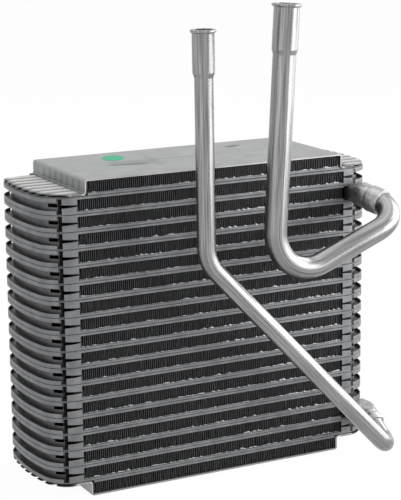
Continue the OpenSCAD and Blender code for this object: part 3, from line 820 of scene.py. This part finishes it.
def thicken(points, thickness, flip):
    """A closed sheet from a grid of points: the grid itself, the same moved
    inwards along its normals by the thickness, and the four rims. The normals
    are the cross products of the grid's two directions. Returns points and
    faces."""
    rows, columns = points.shape[:2]
    normal = np.cross(np.gradient(points, axis=1), np.gradient(points, axis=0))
    normal *= (-1 if flip else 1) / np.linalg.norm(normal, axis=2)[:, :, None]
    under = points - normal * thickness
    count = rows * columns
    upper = grid_faces(rows, columns)[:, ::-1]
    number = np.arange(count).reshape(rows, columns)
    rims = []
    for line in (number[0, ::-1], number[-1], number[:, 0], number[::-1, -1]):
        rims.append(np.stack([line[:-1], line[1:], line[1:] + count, line[:-1] + count], 1))
    faces = np.concatenate([upper, upper[:, ::-1] + count, *[rim[:, ::-1] for rim in rims]])
    faces = faces[:, ::-1] if flip else faces
    return np.concatenate([points.reshape(-1, 3), under.reshape(-1, 3)]), faces


def side_surface(plate, sides, rows, middle, marks=None):
    """A side plate as a sheet: rows across the depth, and columns from the left
    tip over the platform, with middle of them there, to the right tip.
    Returns points, faces and UV."""
    inset = sides.edge_inset / MM
    y = np.linspace(inset - HALF_DEPTH, HALF_DEPTH - inset, rows)
    left_x, left_z, left_painted_light = plate_end(
        TANK_REACH_LEFT, plate.wall_left, plate.height, y, sides)
    right_x, right_z, right_painted_light = plate_end(
        TANK_REACH_RIGHT, plate.wall_right, plate.height, y, sides)
    across = np.linspace(-left_x[0, -1], right_x[0, -1], middle + 2)[1:-1]
    across = np.broadcast_to(across, (rows, middle))
    level = np.full(across.shape, plate.height)
    plain = np.full(across.shape, PLAIN)
    x = np.concatenate([-left_x, across, right_x[:, ::-1]], 1)
    z = np.concatenate([left_z, level, right_z[:, ::-1]], 1)
    painted_light_and_stain = np.concatenate([left_painted_light, plain, right_painted_light[:, ::-1]], 1)
    y = np.broadcast_to(y[:, None], x.shape)
    # Painted highlight along the side plate's front edge
    painted_light_and_stain[0] = np.maximum(painted_light_and_stain[0], EDGE_HIGHLIGHT)
    if marks is not None:
        dents = np.where(np.abs(z - plate.height) < 1e-6, marks(x, y), 0)
        z = z + dents
        # Painted shade in the platform's dents
        painted_light_and_stain = painted_light_and_stain + DENT_SHADE * dents
    points = np.stack([x, y, plate.flange_z + plate.up * z], 2)
    uv = np.stack([painted_light_and_stain, np.zeros(painted_light_and_stain.shape)], 2).reshape(-1, 2)
    points, faces = thicken(points, sides.thickness / MM, plate.up < 0)
    return points, faces, np.concatenate([uv, uv])


class EvaporatorAddSides(bpy.types.Operator):
    """Replaces the two side plates with pressed sheets with soft ribs"""
    bl_idname = "evaporator.add_sides"
    bl_label = "Add side plates"

    def execute(self, context):
        sides = context.scene.evaporator_sides
        material = pressed_side(context.scene.evaporator_finish)
        for plate, grid, marks in ((TOP, TOP_GRID, platform_marks), (BOTTOM, BOTTOM_GRID, None)):
            points, faces, uv = side_surface(plate, sides, *grid, marks)
            piece = put_mesh(plate.node + "_sheet", points, faces, uv=uv)
            dress(piece, material)
            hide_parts(plate.node)
        return {"FINISHED"}


# Sticker

class EvaporatorSticker(bpy.types.PropertyGroup):
    place: bpy.props.FloatVectorProperty(
        name="Place", description="Middle of the sticker on the top side plate",
        default=(-49 * MM, 22 * MM), size=2, unit="LENGTH")
    length: bpy.props.FloatProperty(
        name="Length", description="Length of the oval sticker", default=22 * MM, unit="LENGTH")
    width: bpy.props.FloatProperty(
        name="Width", description="Width of the oval sticker", default=16 * MM, unit="LENGTH")
    turn: bpy.props.FloatProperty(
        name="Turn", description="Turn of the sticker's long axis from X",
        default=math.radians(62), subtype="ANGLE")
    thickness: bpy.props.FloatProperty(
        name="Thickness", description="Thickness of the paper", default=0.12 * MM, unit="LENGTH")


def sticker_surface(sticker, z):
    """An oval disc as rings round its middle: flat on top, with a rounded rim
    down to the plate at height z and a flat underside. Each ring is a share
    of the oval's size at a share of its thickness. Returns points and faces."""
    around = 96
    part = np.array([0.05, 0.35, 0.65, 0.9, 0.985, 1.0, 1.0, 0.6, 0.05])
    rise = np.array([1.0, 1.0, 1.0, 1.0, 0.95, 0.7, 0.0, 0.0, 0.0]) * sticker.thickness / MM
    angle = 2 * math.pi * np.arange(around) / around
    u = part[:, None] * np.cos(angle) * sticker.length / MM / 2
    v = part[:, None] * np.sin(angle) * sticker.width / MM / 2
    c, s = math.cos(sticker.turn), math.sin(sticker.turn)
    x = sticker.place[0] / MM + u * c - v * s
    y = sticker.place[1] / MM + u * s + v * c
    z = np.broadcast_to(z + rise[:, None], x.shape)
    points = np.stack([x, y, z], 2).reshape(-1, 3)
    faces = grid_faces(len(part), around, close_columns=True)[:, ::-1].tolist()
    last = (len(part) - 1) * around
    return points, [*faces, list(range(around)), list(range(last + around - 1, last - 1, -1))]


class EvaporatorAddSticker(bpy.types.Operator):
    """Adds the plain oval sticker on the top side plate"""
    bl_idname = "evaporator.add_sticker"
    bl_label = "Add sticker"

    def execute(self, context):
        plate_top = TOP.flange_z + TOP.height
        points, faces = sticker_surface(context.scene.evaporator_sticker, plate_top)
        piece = put_mesh("oval_sticker", points, faces)
        dress(piece, paper_label(context.scene.evaporator_finish))
        return {"FINISHED"}


# Pipes

# Places of the ports and depth of their sockets in millimetres, as the source
# has them
PORT_X = 118
PORT_REACH = 20
SOCKET_DEPTH = 6
# Small roundings of a bell's rim, under it, at its foot and inside its lip
RIM_FOOT, RIM_FILLET, LIP = 0.8, 0.15, 0.4
# Slices of a pipe's straight lengths, and the angle of a slice of its bends,
# which have at least the given number of them
STRAIGHT_SLICES, BEND_SLICE, FEWEST_SLICES = 4, 4, 8


class EvaporatorPipes(bpy.types.PropertyGroup):
    wall: bpy.props.FloatProperty(
        name="Wall", description="Wall of the drawn tubes", default=1.2 * MM, unit="LENGTH")
    taper: bpy.props.FloatProperty(
        name="Taper", description="Length of the taper up to a bell",
        default=4 * MM, unit="LENGTH")
    rim_height: bpy.props.FloatProperty(
        name="Rim height", description="Height of the rolled rim round a mouth",
        default=2.2 * MM, unit="LENGTH")


def socket_place(mouth, slope, turn):
    """The frame in which a pipe starts, at the shoulder of its port's socket, as
    a 4 x 4 array. mouth is the mouth's middle, slope its fall in degrees and
    turn its turn away from the core."""
    aim = Matrix.Rotation(math.radians(turn), 4, "Z")
    aim = aim @ Matrix.Rotation(math.radians(90 + slope), 4, "X")
    return np.array(Matrix.Translation(mouth) @ aim @ Matrix.Translation((0, 0, -SOCKET_DEPTH)))


def turn_z(angle):
    """Turn about Z by degrees, as a 4 x 4 array."""
    return np.array(Matrix.Rotation(math.radians(angle), 4, "Z"))


def lean(angle, radius):
    """The way from a bend's start to its end: round the axis at x = radius."""
    return np.array(
        Matrix.Translation((radius, 0, 0))
        @ Matrix.Rotation(math.radians(angle), 4, "Y")
        @ Matrix.Translation((-radius, 0, 0))
    )


def rise_by(height):
    """A move up by height millimetres, as a 4 x 4 array."""
    return np.array(Matrix.Translation((0, 0, height)))


def pipe_stations(place, steps, rise):
    """Frames along a pipe's centre line. Each step is a straight length, a turn
    round the pipe, a bend angle and a bend radius, and rise is the last
    straight length. The frames don't turn with the pipe's turns, so that
    lines along it run on. Returns 4 x 4 frames and each one's distance along
    the pipe."""
    frames, along = [], []
    distance, turned = 0.0, 0.0
    for length, turn, angle, radius in steps:
        for part in np.linspace(0, 1, STRAIGHT_SLICES + 1)[:-1]:
            frames.append(place @ rise_by(length * part) @ turn_z(-turned))
            along.append(distance + length * part)
        distance += length
        turned += turn
        place = place @ rise_by(length) @ turn_z(turn)
        slices = max(FEWEST_SLICES, int(angle / BEND_SLICE))
        for part in np.linspace(0, 1, slices + 1)[:-1]:
            frames.append(place @ lean(angle * part, radius) @ turn_z(-turned))
            along.append(distance + math.radians(angle * part) * radius)
        distance += math.radians(angle) * radius
        place = place @ lean(angle, radius)
    for part in np.linspace(0, 1, STRAIGHT_SLICES + 1):
        frames.append(place @ rise_by(rise * part) @ turn_z(-turned))
        along.append(distance + rise * part)
    return np.array(frames), np.array(along)


def tube_z(k):
    """Height of the middle of tube k, counted from the top."""
    return node_box(f"tube_{k:02d}_lower")[1][2]


class Pipe:
    """One pipe's sizes and its bending schedule, in millimetres and degrees. Its
    port leaves the core under the tube of the given number, and the port's
    mouth is shifted from its usual place. sleeve is the length of the port's
    collar past the socket, length the bell's, and size, bell and rim are
    outside diameters."""

    def __init__(self, name, tube, shift, slope, turn, sleeve, dimple_angle,
                 steps, rise, length, size, bell, rim):
        self.root_z = tube_z(tube) - TUBE_PITCH / 2
        mouth = (PORT_X + shift[0], -HALF_DEPTH - PORT_REACH + shift[1], self.root_z + shift[2])
        self.node, self.port = name + "_pipe", name + "_port"
        self.sleeve, self.dimple_angle = sleeve, dimple_angle
        self.place = socket_place(mouth, slope, turn)
        self.steps, self.rise = steps, rise
        self.length, self.size, self.bell, self.rim = length, size, bell, rim


def pipes():
    """The two pipes of the core."""
    return [
        Pipe(
            "suction", tube=2, shift=(-1.5, -0.8, -2.9), slope=12.3, turn=21.2, sleeve=6.2,
            dimple_angle=math.radians(160),
            steps=[(7.4, -153.6, 104.5, 20.6), (49.3, -70.2, 114.8, 27)], rise=119.2,
            length=30.2, size=15.88, bell=17.6, rim=20.7,
        ),
        Pipe(
            "liquid", tube=16, shift=(0, 0, -6), slope=31, turn=2, sleeve=1,
            dimple_angle=math.radians(90),
            steps=[(17, 138.5, 113.2, 13), (192.3, -68.8, 43.1, 26)], rise=113,
            length=27.8, size=12.7, bell=15, rim=17.5,
        ),
    ]


def bell_profile(pipe, sizes):
    """Heights over the bell's foot and radii, up the outside of the bell, over
    its rolled rim and down the inside. The taper is an S-curve, and the rim
    is a half round."""
    wall, rim, rise = sizes.wall / MM, sizes.rim_height / MM, sizes.taper / MM
    r, r1, r2 = pipe.size / 2, pipe.bell / 2, pipe.rim / 2
    top = pipe.length + rise
    s = np.linspace(0, 1, 9)
    taper = np.stack([s * rise, r + (r1 - r) * (3 * s ** 2 - 2 * s ** 3)], 1)
    foot = np.array([[top - rim - RIM_FOOT, r1], [top - rim, r1 + RIM_FILLET]])
    a = np.linspace(-0.5, 0.5, 11) * math.pi
    roll = np.stack([
        top - rim / 2 + np.sin(a) * rim / 2,
        r2 - rim / 2 + np.cos(a) * rim / 2,
    ], 1)
    lip = np.array([[top, r1 - wall + LIP], [top - LIP, r1 - wall]])
    inside = np.stack([taper[::-1, 0], taper[::-1, 1] - wall], 1)
    return np.concatenate([taper, foot, roll, lip, inside])


def pipe_surface(pipe, sizes, around=48):
    """The whole pipe as one closed surface: circles of the outer radius along
    the centre line, the bell's profile, then circles of the inner radius
    back to the start. Returns points, faces and UV."""
    frames, along = pipe_stations(pipe.place, pipe.steps, pipe.rise)
    profile = bell_profile(pipe, sizes)
    bell_frames = frames[-1] @ np.array([rise_by(height) for height in profile[:, 0]])
    radii = np.concatenate([
        np.full(len(frames) - 1, pipe.size / 2), profile[:, 1],
        np.full(len(frames) - 1, pipe.size / 2 - sizes.wall / MM),
    ])
    places = np.concatenate([frames[:-1], bell_frames, frames[:-1][::-1]])
    length = np.concatenate([along[:-1], along[-1] + profile[:, 0], along[:-1][::-1]])
    angle = 2 * math.pi * np.arange(around) / around
    ring = np.stack([np.cos(angle), np.sin(angle)], 1)
    local = np.zeros((len(places), around, 4))
    local[:, :, :2] = ring[None] * radii[:, None, None]
    local[:, :, 3] = 1
    points = np.einsum("sij,saj->sai", places, local)[:, :, :3]
    uv = np.stack(np.broadcast_arrays(length[:, None], angle[None] * pipe.size / 2), 2)
    faces = grid_faces(len(places), around, close_rows=True, close_columns=True)
    return points.reshape(-1, 3), faces[:, ::-1], uv.reshape(-1, 2)


class EvaporatorAddPipes(bpy.types.Operator):
    """Replaces the two pipes with smooth drawn tubes with belled, rimmed mouths"""
    bl_idname = "evaporator.add_pipes"
    bl_label = "Add pipes"

    def execute(self, context):
        material = drawn_tube(context.scene.evaporator_finish)
        sizes = context.scene.evaporator_pipes
        for pipe in pipes():
            points, faces, uv = pipe_surface(pipe, sizes)
            piece = put_mesh(pipe.node + "_tube", points, faces, smooth_angle=35, uv=uv)
            dress(piece, material)
            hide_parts(pipe.node)
        return {"FINISHED"}


# Ports

class EvaporatorPorts(bpy.types.PropertyGroup):
    wall: bpy.props.FloatProperty(
        name="Wall", description="Wall of a port's collar", default=1.7 * MM, unit="LENGTH")
    step: bpy.props.FloatProperty(
        name="Step", description="Step from the spout up to the collar",
        default=0.6 * MM, unit="LENGTH")
    root_width: bpy.props.FloatProperty(
        name="Root width", description="Width of a port's root along the tubes",
        default=19.6 * MM, unit="LENGTH")
    root_height: bpy.props.FloatProperty(
        name="Root height", description="Height of a port's root between two plates",
        default=10.4 * MM, unit="LENGTH")
    root_depth: bpy.props.FloatProperty(
        name="Root depth", description="How far a port's root reaches into the core",
        default=6 * MM, unit="LENGTH")
    dimple: bpy.props.FloatProperty(
        name="Dimple", description="Depth of the stamped dimple in a spout",
        default=1.1 * MM, unit="LENGTH")


ROOT_SHIFT = 1.9         # how far a port's root lies inwards of its mouth
BLEND_SHARE = 0.75       # share of the spout on which it turns from flat to round
ROOT_POWER = 11          # superellipse power of the root, which falls to 2
# The dimple's middle and length as shares of the spout, and its width as a
# change of the cosine round it
DIMPLE_AT, DIMPLE_LENGTH, DIMPLE_WIDTH = 0.62, 0.14, 0.1
SOCKET_PLAY = 0.1        # from the pipe to the socket's wall
FILLET_H = 1.5           # height of a braze fillet over its collar's mouth
FILLET_IN = 0.9          # how far a fillet reaches into the pipe's wall
FILLET_EDGE = 0.6        # from the collar's outside to the fillet's edge
FILLET_UNDER = 0.2       # how far a fillet reaches into the collar
FILLET_SINK = 0.02       # and how far its edge lies in it, so that no slit shows


def superellipse(angle, half_width, half_height, power):
    """Points round a superellipse: |u / a|^n + |v / b|^n = 1. Power 2 is an
    ellipse, and a large power is nearly a rectangle."""
    c, s = np.cos(angle), np.sin(angle)
    scale = (np.abs(c) ** power + np.abs(s) ** power) ** (-1 / power)
    return half_width * scale * c, half_height * scale * s


def port_surface(pipe, ports, slices=26, around=64):
    """A port as one closed surface. Its spout runs on a Hermite curve from a
    nearly rectangular root between two plates to a round collar, with the
    section's width, height and power blended by a smooth step. A stamped
    dimple is a bell curve along the spout and round it. Then come the step up
    to the collar, its rounded mouth and the socket's wall inside."""
    root = np.array([PORT_X - ROOT_SHIFT, -HALF_DEPTH + ports.root_depth / MM, pipe.root_z])
    shoulder, axis = pipe.place[:3, 3], pipe.place[:3, 2]
    t = np.linspace(0, 1, slices)
    span = np.linalg.norm(shoulder - root)
    hermite = np.stack([
        2 * t**3 - 3 * t**2 + 1, t**3 - 2 * t**2 + t, -2 * t**3 + 3 * t**2, t**3 - t**2], 1)
    controls = np.stack([root, np.array([0, -1, 0]) * span, shoulder, axis * span])
    centre = hermite @ controls
    clear = root[1] - centre[:, 1] - ports.root_depth / MM
    clear = np.clip(clear / (span * BLEND_SHARE), 0, 1)
    blend = clear ** 2 * (3 - 2 * clear)
    side_start, side_end = np.array([1.0, 0, 0]), pipe.place[:3, 0]
    up_start, up_end = np.array([0, 0, 1.0]), -pipe.place[:3, 1]
    if up_end @ up_start < 0:
        up_end = -up_end
    if side_end @ side_start < 0:
        side_end = -side_end
    side = side_start * (1 - blend)[:, None] + side_end * blend[:, None]
    up = up_start * (1 - blend)[:, None] + up_end * blend[:, None]
    angle = 2 * math.pi * np.arange(around) / around
    collar_r = pipe.size / 2 + ports.wall / MM
    round_r = collar_r - ports.step / MM
    half_w = ports.root_width / MM / 2 * (1 - blend) + round_r * blend
    half_h = ports.root_height / MM / 2 * (1 - blend) + round_r * blend
    power = (ROOT_POWER - 2) * (1 - blend) ** 2 + 2
    u, v = superellipse(angle[None], half_w[:, None], half_h[:, None], power[:, None])
    dent_along = ((t[:, None] - DIMPLE_AT) / DIMPLE_LENGTH) ** 2
    dent_round = ((np.cos(angle - pipe.dimple_angle)[None] - 1) / DIMPLE_WIDTH) ** 2
    dent = 1 - ports.dimple / MM / round_r * np.exp(-dent_along - dent_round)
    spout = side[:, None] * (u * dent)[:, :, None] + up[:, None] * (v * dent)[:, :, None]
    spout = centre[:, None] + spout
    end, socket_r = SOCKET_DEPTH + pipe.sleeve, pipe.size / 2 + SOCKET_PLAY
    # Heights over the shoulder and radii, up the step and the collar, over its
    # rounded mouth and down to the shoulder again
    profile = np.array([
        [0.7, round_r], [1.0, round_r + 0.1], [1.5, collar_r - 0.12], [2.0, collar_r],
        [end - 0.5, collar_r], [end - 0.15, collar_r - 0.15], [end, collar_r - 0.5],
        [end, socket_r + 0.25], [end - 0.3, socket_r], [0.4, socket_r], [0.3, pipe.size / 4],
    ])
    ring = side_end * np.cos(angle)[:, None] + up_end * np.sin(angle)[:, None]
    on_axis = (shoulder + axis * profile[:, 0, None])[:, None]
    collar = on_axis + ring[None] * profile[:, 1, None, None]
    points = np.concatenate([spout, collar])
    rows = len(points)
    faces = grid_faces(rows, around, close_columns=True)[:, ::-1].tolist()
    caps = [list(range(around - 1, -1, -1)), list(range((rows - 1) * around, rows * around))]
    return points.reshape(-1, 3), faces + caps


def fillet_surface(pipe, ports, around=64):
    """The braze fillet between a collar's mouth and its pipe: a hollow
    quarter-round section turned round the pipe, a little uneven."""
    end = SOCKET_DEPTH + pipe.sleeve
    r, top = pipe.size / 2, pipe.size / 2 + ports.wall / MM - FILLET_EDGE
    turn = np.linspace(0, math.pi / 2, 6)
    inner = r - FILLET_IN
    hollow_r = np.concatenate([top - (top - r) * np.sin(turn), [inner, inner, top]])
    hollow_z = np.concatenate([
        FILLET_H * (1 - np.cos(turn)), [FILLET_H, -FILLET_UNDER, -FILLET_UNDER]])
    hollow_z = hollow_z + end - FILLET_SINK
    angle = 2 * math.pi * np.arange(around) / around
    uneven = 1 + 0.12 * np.sin(3 * angle + 1) + 0.08 * np.sin(7 * angle)
    z = end + (hollow_z[:, None] - end) * uneven
    local = np.stack(np.broadcast_arrays(
        hollow_r[:, None] * np.cos(angle), hollow_r[:, None] * np.sin(angle), z, 1.0), 2)
    points = (local @ pipe.place.T)[:, :, :3]
    faces = grid_faces(len(hollow_r), around, close_rows=True, close_columns=True)
    return points.reshape(-1, 3), faces


class EvaporatorAddPorts(bpy.types.Operator):
    """Replaces the two ports with smooth formed spouts, each with a braze fillet"""
    bl_idname = "evaporator.add_ports"
    bl_label = "Add ports"

    def execute(self, context):
        ports = context.scene.evaporator_ports
        finish = context.scene.evaporator_finish
        material, braze = satin_port(finish), set_braze(finish)
        for pipe in pipes():
            points, faces = port_surface(pipe, ports)
            piece = put_mesh(pipe.port + "_spout", points, faces)
            dress(piece, material)
            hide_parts(pipe.port)
            points, faces = fillet_surface(pipe, ports)
            piece = put_mesh(pipe.port + "_fillet", points, faces, smooth_angle=60)
            dress(piece, braze)
        return {"FINISHED"}


# Stage

CORE_MIDDLE = (0, 0, 0.13)   # in metres, where the lights are turned to


class EvaporatorStage(bpy.types.PropertyGroup):
    lens: bpy.props.FloatProperty(
        name="Lens", description="Focal length of the camera in millimetres", default=123.7)
    camera_place: bpy.props.FloatVectorProperty(
        name="Camera place", description="Where the camera stands",
        default=(-0.5528, -1.0804, 0.4302), subtype="TRANSLATION", unit="LENGTH")
    yaw: bpy.props.FloatProperty(
        name="Yaw", description="Turn of the camera from +Y towards +X",
        default=math.radians(27.48), subtype="ANGLE")
    pitch: bpy.props.FloatProperty(
        name="Pitch", description="How far the camera looks down",
        default=math.radians(12.79), subtype="ANGLE")
    roll: bpy.props.FloatProperty(
        name="Roll", description="Roll of the camera", default=math.radians(-0.56),
        subtype="ANGLE")
    ambient: bpy.props.FloatProperty(
        name="Ambient", description="Strength of the even light all round", default=0.4)
    key_power: bpy.props.FloatProperty(
        name="Key power", description="Power of the large light at the right", default=20,
        unit="POWER")
    front_power: bpy.props.FloatProperty(
        name="Front power", description="Power of the light in front at the right", default=7,
        unit="POWER")
    fill_power: bpy.props.FloatProperty(
        name="Fill power", description="Power of the light at the left", default=3,
        unit="POWER")
    top_power: bpy.props.FloatProperty(
        name="Top power", description="Power of the light overhead", default=4, unit="POWER")
    floor_size: bpy.props.FloatProperty(
        name="Floor size", description="Length and width of the paper floor", default=18,
        unit="LENGTH")
    paper: bpy.props.FloatVectorProperty(
        name="Paper", description="Colour of the paper floor",
        default=linear("#f4f4f4"), size=4, subtype="COLOR")
    paper_glow: bpy.props.FloatProperty(
        name="Paper glow", description="Strength of the paper floor's own glow", default=1.03)
    glow_share: bpy.props.FloatProperty(
        name="Glow share", description="Share of the glow in the floor where it is seen",
        default=0.93)


def area_light(name, place, target, size, power):
    """A soft light of the given width and height at place, turned to target."""
    data = bpy.data.lights.new(name, "AREA")
    data.shape = "RECTANGLE"
    data.size, data.size_y = size
    data.energy = power
    light = bpy.data.objects.new(name, data)
    light.location = place
    light.rotation_euler = (Vector(target) - Vector(place)).to_track_quat("-Z", "Y").to_euler()
    bpy.context.scene.collection.objects.link(light)


def add_camera(stage):
    """The photo's camera: looks along +Y turned by yaw, down by pitch, rolled."""
    yaw, pitch, roll = stage.yaw, stage.pitch, stage.roll
    ahead = Vector((
        math.sin(yaw) * math.cos(pitch), math.cos(yaw) * math.cos(pitch), -math.sin(pitch)))
    level = Vector((math.cos(yaw), -math.sin(yaw), 0))
    above = level.cross(ahead)
    right = math.cos(roll) * level + math.sin(roll) * above
    up = math.cos(roll) * above - math.sin(roll) * level
    data = bpy.data.cameras.new("Camera")
    data.lens = stage.lens
    data.clip_end = 40
    camera = bpy.data.objects.new("Camera", data)
    camera.matrix_world = Matrix.Translation(stage.camera_place) @ Matrix(
        (right, up, -ahead)).transposed().to_4x4()
    bpy.context.scene.collection.objects.link(camera)
    bpy.context.scene.camera = camera


def seen_rays(tree):
    """1 for the rays in which a background is seen, which are those from the
    camera, off a gloss and through glass, and 0 for those that bring light."""
    path = add(tree, "ShaderNodeLightPath").outputs
    seen = path["Is Camera Ray"]
    for kind in ("Is Glossy Ray", "Is Transmission Ray"):
        seen = add(
            tree, "ShaderNodeMath", {"operation": "MAXIMUM"}, _0=seen, _1=path[kind]
        ).outputs[0]
    return seen


def white_world(ambient):
    """A world that is white to the camera and in reflections, and lights the
    object evenly at the ambient strength."""
    world = bpy.data.worlds.new("Studio")
    world.use_nodes = True
    tree = world.node_tree
    tree.nodes.clear()
    strength = spread(tree, seen_rays(tree), ambient, 1.0)
    shader = add(tree, "ShaderNodeBackground", Color=(1, 1, 1, 1), Strength=strength)
    add(tree, "ShaderNodeOutputWorld", Surface=shader.outputs[0])
    bpy.context.scene.world = world


def paper_floor(stage):
    """White paper sweep: a diffuse white that keeps the object's shadow, with
    part of its white from its own glow, so that it is as pale as the
    background to the camera and in reflections."""
    material, tree = new_material("White paper sweep")
    paper = add(tree, "ShaderNodeBsdfDiffuse", Color=stage.paper)
    glow = add(tree, "ShaderNodeEmission", Color=(1, 1, 1, 1), Strength=stage.paper_glow)
    part = spread(tree, seen_rays(tree), 0.0, stage.glow_share)
    shader = add(tree, "ShaderNodeMixShader", _0=part, _1=paper.outputs[0], _2=glow.outputs[0])
    finish_material(tree, shader)
    return material


class EvaporatorAddStage(bpy.types.Operator):
    """Adds the camera, the soft lights, the white world and the paper floor"""
    bl_idname = "evaporator.add_stage"
    bl_label = "Add stage"

    def execute(self, context):
        stage = context.scene.evaporator_stage
        add_camera(stage)
        for name, place, size, power in (
            ("Key light", (1.35, -0.1, 0.65), (1.3, 1.5), stage.key_power),
            ("Front light", (0.85, -0.85, 0.35), (0.7, 0.7), stage.front_power),
            ("Fill light", (-1.3, -0.7, 0.6), (1.0, 1.2), stage.fill_power),
            ("Top light", (0.1, 0.2, 1.5), (1.2, 1.2), stage.top_power),
        ):
            area_light(name, place, CORE_MIDDLE, size, power)
        white_world(stage.ambient)
        reach = stage.floor_size / MM / 2
        corners = [(-reach, -reach, 0), (reach, -reach, 0), (reach, reach, 0), (-reach, reach, 0)]
        floor = put_mesh("Floor", corners, [(0, 1, 2, 3)])
        floor.data.materials.append(paper_floor(stage))
        view = context.scene.view_settings
        view.view_transform = "Standard"
        return {"FINISHED"}


# Panel and registration

class EvaporatorPanel(bpy.types.Panel):
    """Lists the steps that dress the core"""
    bl_label = "Evaporator core"
    bl_idname = "VIEW3D_PT_evaporator"
    bl_space_type = "VIEW_3D"
    bl_region_type = "UI"
    bl_category = "Evaporator"

    def draw(self, context):
        column = self.layout.column()
        for operator in OPERATORS:
            column.operator(operator.bl_idname)


GROUPS = {
    "evaporator_finish": EvaporatorFinish,
    "evaporator_fins": EvaporatorFins,
    "evaporator_braze": EvaporatorBraze,
    "evaporator_sides": EvaporatorSides,
    "evaporator_sticker": EvaporatorSticker,
    "evaporator_pipes": EvaporatorPipes,
    "evaporator_ports": EvaporatorPorts,
    "evaporator_stage": EvaporatorStage,
}
OPERATORS = [
    EvaporatorAddStage,
    EvaporatorAddPlates,
    EvaporatorAddFins,
    EvaporatorAddBraze,
    EvaporatorAddSides,
    EvaporatorAddSticker,
    EvaporatorAddPorts,
    EvaporatorAddPipes,
]


def register():
    for cls in [*GROUPS.values(), *OPERATORS, EvaporatorPanel]:
        bpy.utils.register_class(cls)
    for name, group in GROUPS.items():
        setattr(bpy.types.Scene, name, bpy.props.PointerProperty(type=group))


def unregister():
    for name in GROUPS:
        delattr(bpy.types.Scene, name)
    for cls in [EvaporatorPanel, *reversed(OPERATORS), *reversed(GROUPS.values())]:
        bpy.utils.unregister_class(cls)


def main():
    register()
    bpy.ops.evaporator.add_stage()
    bpy.ops.evaporator.add_plates()
    bpy.ops.evaporator.add_fins()
    bpy.ops.evaporator.add_braze()
    bpy.ops.evaporator.add_sides()
    bpy.ops.evaporator.add_sticker()
    bpy.ops.evaporator.add_ports()
    bpy.ops.evaporator.add_pipes()


if __name__ == "__main__":
    main()
